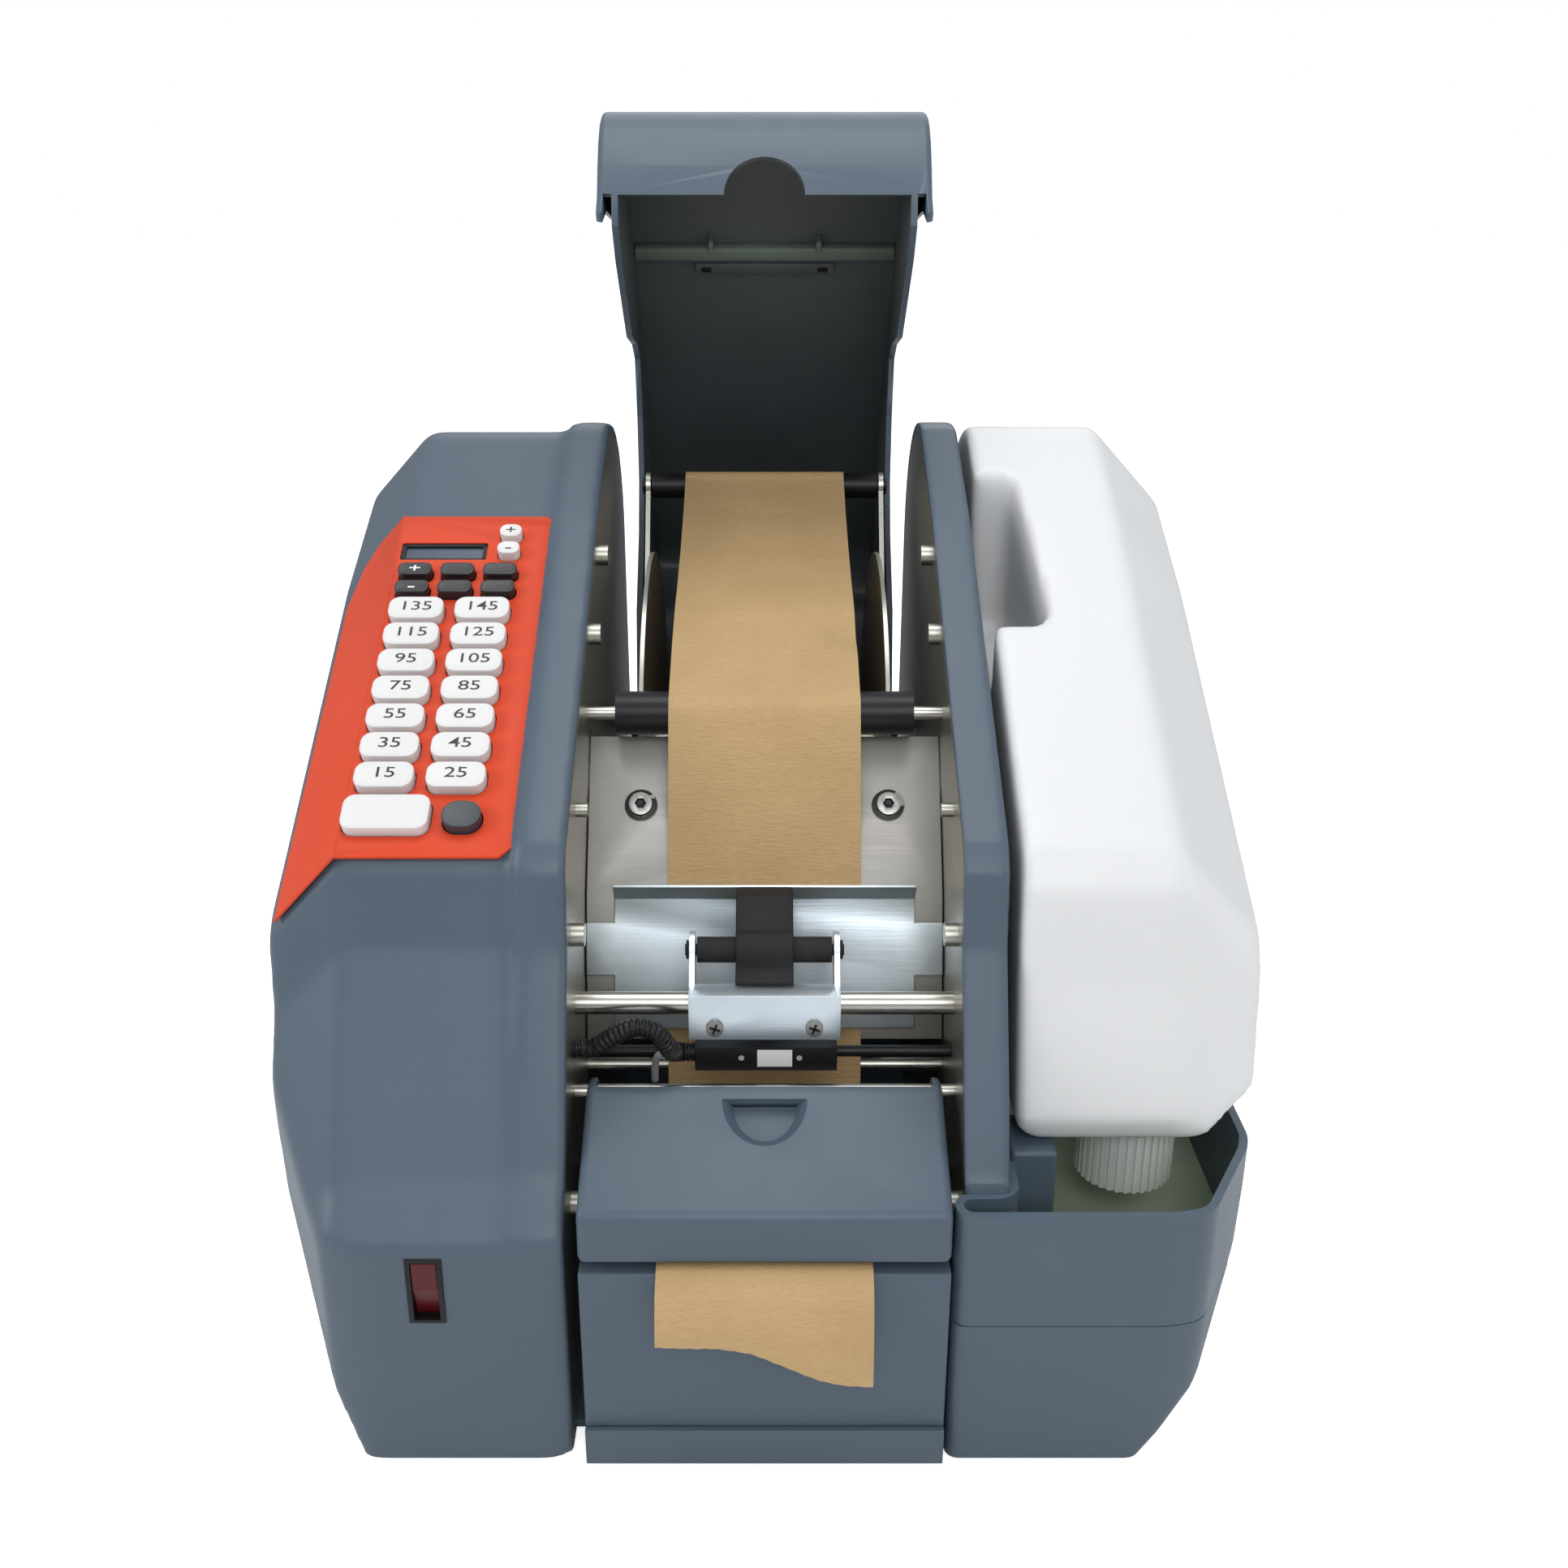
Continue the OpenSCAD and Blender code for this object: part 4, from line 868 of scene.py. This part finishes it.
backing = scoop("recess_backing", 17.5, 15, 7.5)
slice_off(backing, recess_at + Vector((0, 0, -0.0006)), Vector((0, -math.sin(lean), math.cos(lean))))
boolean(brush_cover, backing, "UNION")
cut(brush_cover, scoop("finger_recess", 15, 10.5, 5.5))
apply_modifier(
    brush_cover, "BEVEL", width=0.0006, segments=2, limit_method="ANGLE", angle_limit=math.radians(40),
    harden_normals=False,
)
for side in (-1, 1):
    cut(brush_cover, rod("rod_hole", (side * 50, 52, 114), (side * 70, 52, 114), 2.56))
smooth(brush_cover, 40)
place(brush_cover, "brush_cover", slate, "slate_plastic", "brush_cover")

# ---------------------------------------------------------------- lid

HINGE = (287, 165)
OPEN = math.radians(80)


def lid_point(x, y, z):
    """A point of the closed lid, carried to where it stands open."""
    c, s = math.cos(OPEN), math.sin(OPEN)
    dy, dz = y - HINGE[0], z - HINGE[1]
    return at(x, HINGE[0] + dy * c + dz * s, HINGE[1] - dy * s + dz * c)


def open_up(piece):
    """Turns a piece drawn on the closed lid open with it."""
    for vertex in piece.data.vertices:
        x, y, z = vertex.co * 1000
        vertex.co = lid_point(x, y + MID_Y, z)
    return piece


lid = copy_of("top_lid", "lid_moulding")
NOSE_SIDE = 0.0641
pick(lid)
bpy.ops.object.mode_set(mode="EDIT")
bpy.ops.mesh.select_mode(type="EDGE")
bpy.ops.mesh.select_all(action="DESELECT")
bpy.ops.object.mode_set(mode="OBJECT")
edge_faces = {}
for face in lid.data.polygons:
    for key in face.edge_keys:
        edge_faces.setdefault(key, []).append(face)
middle = lid_point(0, 60, 190)
for edge in lid.data.edges:
    ends = [lid.data.vertices[i].co for i in edge.vertices]
    faces = edge_faces.get(tuple(sorted(edge.vertices)), [])
    if len(faces) == 2 and all(abs(end.x) > NOSE_SIDE for end in ends):
        flat = [face for face in faces if abs(face.normal.x) < 0.5]
        edge.select = len(flat) == 1 and flat[0].normal.dot(flat[0].center - middle) > 0
bpy.ops.object.mode_set(mode="EDIT")
bpy.ops.mesh.bevel(offset=0.0034, segments=5, profile=0.5, clamp_overlap=True)
bpy.ops.object.mode_set(mode="OBJECT")
soften(lid, 0.7, 3, 40)
smooth(lid, 40)
apply_modifier(lid, "WEIGHTED_NORMAL", keep_sharp=True, weight=100)
place(lid, "lid", slate, "slate_plastic", "top_lid")
lid.data.materials.append(slate_inside)
middle = lid_point(0, 190, 170)
for face in lid.data.polygons:
    if abs(face.center.x) < 0.0564 and face.normal.dot(face.center - middle) < -0.001:
        face.material_index = 1

# Inside the lid: a ledge with two small ribs, and a strip below it whose slots are thin black bars, painted
# shade
SKIN = (71, 213.5)
RISE = math.radians(27.7)


def under_skin(along, deep):
    """A point under the closed lid's slope, in (Y, Z): so far along it and so deep below it."""
    c, s = math.cos(RISE), math.sin(RISE)
    return (SKIN[0] + along * c + deep * s, SKIN[1] + along * s - deep * c)


def lid_bar(name, along, deep, low_x, high_x, material, slot, round_by=0.5):
    corners = [(along[0], deep[0]), (along[0], deep[1]), (along[1], deep[1]), (along[1], deep[0])]
    piece = slab(name, [under_skin(*corner) for corner in corners], low_x, high_x)
    soften(piece, round_by, 2, 30)
    return place(smooth(open_up(piece), 40), "lid", material, slot)


lid_bar("lid_ledge", (13, 20), (-0.6, 4.0), -55.9, 55.9, ledge_green, "slate_plastic", 1.2)
lid_bar("lid_seam", (20.4, 22), (-0.6, 2.4), -52, 52, slate_inside, "slate_plastic", 0.3)
lid_bar("lid_strip", (22.4, 28), (-0.6, 3.0), -30, 30, slate_inside, "slate_plastic", 0.6)
# Black bars on the strip's face stand in for the shade inside its slots: painted shade
for x in (-27.5, 23):
    lid_bar("strip_slot_painted_shade", (24.2, 27), (2.4, 3.1), x, x + 4.5, black_plastic, "black_plastic", 0.2)
for x in (-24, 22):
    lid_bar("ledge_rib", (8.5, 14.5), (-0.6, 5.5), x, x + 2.2, ledge_green, "slate_plastic", 0.5)

# ---------------------------------------------------------------- keypad panel, window, keys

panel = copy_of("keypad_panel", "keypad_frame")
soften(panel, 0.4, 2, 50)
smooth(panel, 60)
place(panel, "base", orange, "orange_panel", "keypad_panel")

NUMBER_KEYS = {"key_%d" % (15 + 10 * i): (-128.3 + 24.3 * (i % 2), 13 + 13.3 * (i // 2)) for i in range(14)}
KEYS = {name: (x, u, 20, 11, 4, white_key) for name, (x, u) in NUMBER_KEYS.items()}
KEYS["start_key"] = (-125.4, -3, 29, 14.4, 4, white_key)
KEYS["feed_key"] = (-100.2, -4, 13, 11, 5.2, grey_key)
SMALL_KEYS = (
    (-131.5, "minus_key", "plus_key"), (-115.5, "enter_key", "set_key"), (-99.5, "auto_key", "double_key"),
)
for column, low_key, high_key in SMALL_KEYS:
    KEYS[low_key] = (column, 104.1, 12.6, 6.4, 2.4, black_key)
    KEYS[high_key] = (column, 113.5, 12.6, 6.4, 2.4, black_key)
KEYS["volume_down_key"] = (-97.5, 125.3, 8.4, 6.6, 3, white_key)
KEYS["volume_up_key"] = (-97.5, 134.9, 8.4, 6.6, 3, white_key)


def key_cap(name, x, u, width, length, corner, material):
    """A moulded key: rounded corners, a soft shoulder and a slightly dished top."""
    bpy.ops.object.select_all(action="DESELECT")
    bpy.ops.mesh.primitive_cube_add(size=1)
    key = bpy.context.object
    key.name = name + "_cap"
    key.scale = (width, length, 7.0)
    key.location = (0, 0, 0.5)
    bpy.ops.object.transform_apply(location=True, rotation=True, scale=True)
    pick(key)
    bpy.ops.object.mode_set(mode="EDIT")
    bpy.ops.mesh.select_all(action="DESELECT")
    bpy.ops.mesh.select_mode(type="EDGE")
    bpy.ops.object.mode_set(mode="OBJECT")
    for edge in key.data.edges:
        a, b = (key.data.vertices[i].co for i in edge.vertices)
        edge.select = abs(a.z - b.z) > 1
    bpy.ops.object.mode_set(mode="EDIT")
    bpy.ops.mesh.bevel(offset=corner, segments=6, profile=0.5, clamp_overlap=False)
    bpy.ops.object.mode_set(mode="OBJECT")
    select_faces(key, lambda face: face.normal.z > 0.99)
    bpy.ops.mesh.inset(thickness=0.35)
    bpy.ops.object.mode_set(mode="OBJECT")
    select_faces(key, lambda face: face.normal.z > 0.99 and len(face.vertices) > 8)
    bpy.ops.mesh.inset(thickness=0.7, depth=-0.06)
    bpy.ops.mesh.inset(thickness=0.9, depth=-0.10)
    bpy.ops.object.mode_set(mode="OBJECT")
    apply_modifier(key, "BEVEL", width=0.9, segments=4, limit_method="ANGLE", angle_limit=math.radians(50))
    for vertex in key.data.vertices:
        px, py, pz = vertex.co
        vertex.co = on_pad(x + px, u + py, pz)
    smooth(key, 40)
    return key


def legend(name, words, x, u, height, size, material, body, slot, wide=1.3):
    """A plain printed mark on a key, as thin solid letters."""
    bpy.ops.object.select_all(action="DESELECT")
    bpy.ops.object.text_add()
    mark = bpy.context.object
    mark.data.body = words
    mark.data.align_x = "CENTER"
    mark.data.align_y = "CENTER"
    mark.data.size = size
    mark.data.extrude = 0.02
    mark.data.offset = 0.03 * size / 7
    mark.data.resolution_u = 4
    mark.name = name
    bpy.ops.object.convert(target="MESH")
    mark = bpy.context.object
    for vertex in mark.data.vertices:
        px, py, pz = vertex.co
        vertex.co = on_pad(x + px * wide, u + py, height + pz)
    return place(mark, body, material, slot)


KEY_SLOTS = {white_key.name: "white_key", grey_key.name: "grey_key", black_key.name: "black_plastic"}
for name, (x, u, width, length, corner, material) in KEYS.items():
    key = key_cap(name, x, u, width, length, corner, material)
    place(key, name, material, KEY_SLOTS[material.name], name)
for name, (x, u) in NUMBER_KEYS.items():
    legend(name + "_number", name[4:], x, u + 0.6, 3.87, 6.4, ink, name, "black_plastic")
legend("plus_mark", "+", -131.5, 113.5, 3.87, 6.5, pale_ink, "plus_key", "white_key")
legend("minus_mark", "-", -131.5, 104.1, 3.87, 7.5, pale_ink, "minus_key", "white_key")
legend("volume_up_mark", "+", -97.5, 134.9, 3.87, 6.0, ink, "volume_up_key", "black_plastic")
legend("volume_down_mark", "-", -97.5, 125.3, 3.87, 7.0, ink, "volume_down_key", "black_plastic")

# ---------------------------------------------------------------- paper web

TOP_AXIS, GUIDE, FEED = (296, 273), (139, 221), (66, 74)
WEB_LINE = [
    (307.4, 168), (307.0, 205), (304.6, 240), *arc(TOP_AXIS, 6.0, -3, 140, 10), (268, 267.0), (240, 258.3),
    (212, 251.6), (185, 246.4), (162, 239.3),
    *arc(GUIDE, 8.5, 113, 156, 5), (105.3, 163.0), (87.6, 113.1), (82, 96), *arc(FEED, 12.5, 66, 104, 4),
    (44, 81.8), (0, 80.8), (-4, 79), (-8.5, 73.6), (-11.5, 64), (-13.4, 54), (-14.2, 45),
]


def along_line(points, step):
    """Points evenly spaced along a line, so that it can be bent finely."""
    made = [Vector(points[0])]
    for first, last in zip(points, points[1:]):
        a, b = Vector(first), Vector(last)
        count = max(1, round((b - a).length / step))
        made += [a.lerp(b, (i + 1) / count) for i in range(count)]
    return made


LIP_Z = 79.0
TORN = [(-35, 61.0), (-16, 60.2), (-4, 58.0), (8, 53.4), (18, 49.0), (26, 46.4), (35, 45.0)]


def torn_edge(x):
    """Height of the torn end, which hangs lower on the right."""
    for (x0, z0), (x1, z1) in zip(TORN, TORN[1:]):
        if x <= x1:
            t = (x - x0) / (x1 - x0)
            return z0 + (z1 - z0) * t
    return TORN[-1][1]


TAPE_W = 70
ACROSS = 44
line = along_line(WEB_LINE, 2.5)
bpy.ops.object.select_all(action="DESELECT")
bpy.ops.mesh.primitive_grid_add(x_subdivisions=ACROSS, y_subdivisions=len(line) - 1, size=1)
web = bpy.context.object
web.name = "paper_web_sheet"
hang = len(along_line(WEB_LINE[-5:], 2.5))
for vertex in web.data.vertices:
    share = vertex.co.x + 0.5
    step = min(len(line) - 1, round((vertex.co.y + 0.5) * (len(line) - 1)))
    y, z = line[step]
    loose = max(0.0, (step - (len(line) - hang)) / hang)
    x = (share - 0.5) * TAPE_W
    hangs = torn_edge(x) + 0.15 * math.sin(share * 90.0)
    wave = loose * (0.9 * math.sin(share * 5.6 + 0.4) - 0.5 * math.sin(share * 11.0))
    if loose > 0:
        z = LIP_Z + (z - LIP_Z) * (LIP_Z - hangs) / (LIP_Z - WEB_LINE[-1][1])
    dent = 0.0
    if 140 < y < 215 and z > 225:
        dent = math.exp(-(((share - 0.97) / 0.14) ** 2) - ((y - 172) / 9.0) ** 2)
    vertex.co = at(x, y - 0.25 + wave, z - 3.2 * dent)
outward(web)
apply_modifier(web, "SOLIDIFY", thickness=0.00035, offset=0)
smooth(web, 50)
dress(web, kraft)
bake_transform(web)
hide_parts("paper_web")

# ---------------------------------------------------------------- ribbed conduit of the sensor's lead

CONDUIT = [
    (-64.9, 50, 132), (-57, 50, 133), (-50, 49, 138), (-43, 48.5, 141), (-37, 49, 139), (-33.5, 51.5, 133),
    (-32, 55, 128), (-29.5, 58.5, 125.6), (-24.3, 59.5, 125),
]


def smooth_path(points, per_span):
    """A Catmull-Rom path through the points."""
    made = []
    for i in range(len(points) - 1):
        a, b, c, d = (Vector(points[min(max(k, 0), len(points) - 1)]) for k in (i - 1, i, i + 1, i + 2))
        for j in range(per_span):
            t = j / per_span
            square, cube_term = (2 * a - 5 * b + 4 * c - d) * t * t, (3 * b - a - 3 * c + d) * t ** 3
            made.append(0.5 * (2 * b + (c - a) * t + square + cube_term))
    return [*made, Vector(points[-1])]


def tube(name, path, radius, rib, sides=18):
    """A hose along a path; two of every four rings are drawn in by rib."""
    bpy.ops.object.select_all(action="DESELECT")
    bpy.ops.mesh.primitive_grid_add(x_subdivisions=sides, y_subdivisions=len(path) - 1, size=1)
    hose = bpy.context.object
    hose.name = name
    for vertex in hose.data.vertices:
        step = min(len(path) - 1, round((vertex.co.y + 0.5) * (len(path) - 1)))
        turn = 2 * math.pi * (vertex.co.x + 0.5)
        ahead = (path[min(step + 1, len(path) - 1)] - path[max(step - 1, 0)]).normalized()
        side = ahead.cross(Vector((0, 1, 0.2))).normalized()
        up = side.cross(ahead)
        r = radius - (rib if step % 4 in (2, 3) else 0)
        point = path[step] + r * (math.cos(turn) * side + math.sin(turn) * up)
        vertex.co = at(*point)
    outward(hose)
    pick(hose)
    bpy.ops.object.mode_set(mode="EDIT")
    bpy.ops.mesh.select_all(action="DESELECT")
    bpy.ops.mesh.select_mode(type="EDGE")
    bpy.ops.mesh.select_non_manifold()
    bpy.ops.mesh.edge_face_add()
    bpy.ops.mesh.select_all(action="SELECT")
    bpy.ops.mesh.normals_make_consistent(inside=False)
    bpy.ops.object.mode_set(mode="OBJECT")
    return smooth(hose, 50)


conduit = tube("ribbed_conduit", smooth_path(CONDUIT, 17), 3.4, 0.6)
place(conduit, "base", black_plastic, "black_plastic", "sensor_conduit")

# ---------------------------------------------------------------- sheet-metal pieces with their screws


def dress_by_place(obj, chosen, material):
    """Gives the faces that the test picks a second material."""
    obj.data.materials.append(material)
    index = len(obj.data.materials) - 1
    for face in obj.data.polygons:
        if chosen(face.center.x * 1000, face.center.y * 1000 + MID_Y, face.center.z * 1000, face):
            face.material_index = index


feed_plate = copy_of("feed_plate", "feed_plate_sheet")
soften(feed_plate, 0.5, 3, 40)
smooth(feed_plate, 40)
place(feed_plate, "base", plate_steel, "stainless", "feed_plate")
PLATE_SCREW_X = 45.5
dress_by_place(
    feed_plate,
    lambda x, y, z, face: math.hypot(abs(x) - PLATE_SCREW_X, y - 125.5) < 6.4 and abs(z - 191) < 9,
    screw_steel,
)
# The middle of each screw head is painted black, as painted shade in its recess
dress_by_place(
    feed_plate,
    lambda x, y, z, face: math.hypot(abs(x) - PLATE_SCREW_X, y - 124.6) < 2.4 and abs(z - 192) < 6,
    black_plastic,
)

bracket = copy_of("pressure_bracket", "pressure_bracket_folded")
soften(bracket, 0.7, 3, 40)
smooth(bracket, 40)
place(bracket, "press_arm", zinc, "zinc_plate", "pressure_bracket")
SCREW_X, SCREW_Z = 17, 136
dress_by_place(
    bracket, lambda x, y, z, face: math.hypot(abs(x) - SCREW_X, z - SCREW_Z) < 3.1 and y < 57.3, screw_steel,
)
# Thin black bars over each screw head stand in for the shade in its cross recess: painted shade
for side in (-SCREW_X, SCREW_X):
    for angle in (20, 110):
        cross = cube("screw_cross_painted_shade", (-1.9, -0.35, -0.35), (1.9, 0.35, 0.35))
        turned = Matrix.Rotation(math.radians(angle), 4, "Y") @ Matrix.Translation(-at(0, 0, 0))
        cross.data.transform(Matrix.Translation(at(side, 55.75, SCREW_Z)) @ turned)
        place(cross, "press_arm", black_plastic, "black_plastic")

strap = copy_of("rubber_strap", "rubber_strap_soft")
soften(strap, 0.5, 2, 40)
smooth(strap, 50)
place(strap, "press_arm", black_rubber, "black_rubber", "rubber_strap")

pressure_plate = copy_of("pressure_plate", "pressure_plate_folded")
soften(pressure_plate, 0.45, 2, 40)
smooth(pressure_plate, 40)
place(pressure_plate, "base", zinc, "zinc_plate", "pressure_plate")

# ---------------------------------------------------------------- sensor: bare label, lamps, its lead

label = cube("sensor_label", (-2.5, 56.9, 120.6), (9.5, 57.05, 127.2))
place(label, "base", white_key, "white_key")
for x in (12.0, -8.0):
    lamp = rod("sensor_lamp", (x, 56.9, 124), (x, 57.3, 124), 1.0, 20)
    place(lamp, "base", cable_grey, "grey_key")
lead = smooth_path([(-33.5, 53.5, 127), (-36.5, 57, 125), (-38, 61, 119), (-38.5, 64, 111)], 8)
cable = tube("sensor_lead", lead, 1.3, 0.0, 14)
place(cable, "base", cable_grey, "grey_key")

# ---------------------------------------------------------------- display surround

DISPLAY_EDGES = (
    ("left", (-16.6, -4.8), (-14.8, 4.8)), ("right", (14.8, -4.8), (16.6, 4.8)),
    ("top", (-16.6, 3.2), (16.6, 4.8)), ("foot", (-16.6, -4.8), (16.6, -3.4)),
)
for name, low, high in DISPLAY_EDGES:
    bar = cube("display_edge_" + name, (low[0], low[1], -1.2), (high[0], high[1], -0.5))
    for vertex in bar.data.vertices:
        x, y, z = vertex.co * 1000
        vertex.co = on_pad(-122.7 + x, 127.1 + y + MID_Y, z)
    place(bar, "base", black_plastic, "black_plastic")

# ---------------------------------------------------------------- CAD nodes that keep their shape

# The guide roller's spindle shows past its ends, which lie at 54.5
SPINDLE_END = 54.6
FINISHES = {
    "rubber_feet": black_rubber, "left_side_plate": stainless, "right_side_plate": stainless,
    "display_window": display, "rocker": red_rocker, "wetting_brush": bristle,
    "cross_rods": steel_rod, "pressure_roller": black_rubber, "guide_roller": black_plastic,
    "tension_arms": steel_rod, "top_roller": black_plastic, "tape_roll": kraft, "roll_discs": stainless,
    "feed_roller": black_rubber, "feed_motor": zinc, "cutter_blade": steel_rod,
    "photo_sensor": black_plastic,
}
for node, material in FINISHES.items():
    dress(nodes[node], material)
    if node == "guide_roller":
        dress_by_place(nodes[node], lambda x, y, z, face: abs(x) > SPINDLE_END, steel_rod)
    smooth(nodes[node], 30)

low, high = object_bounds()
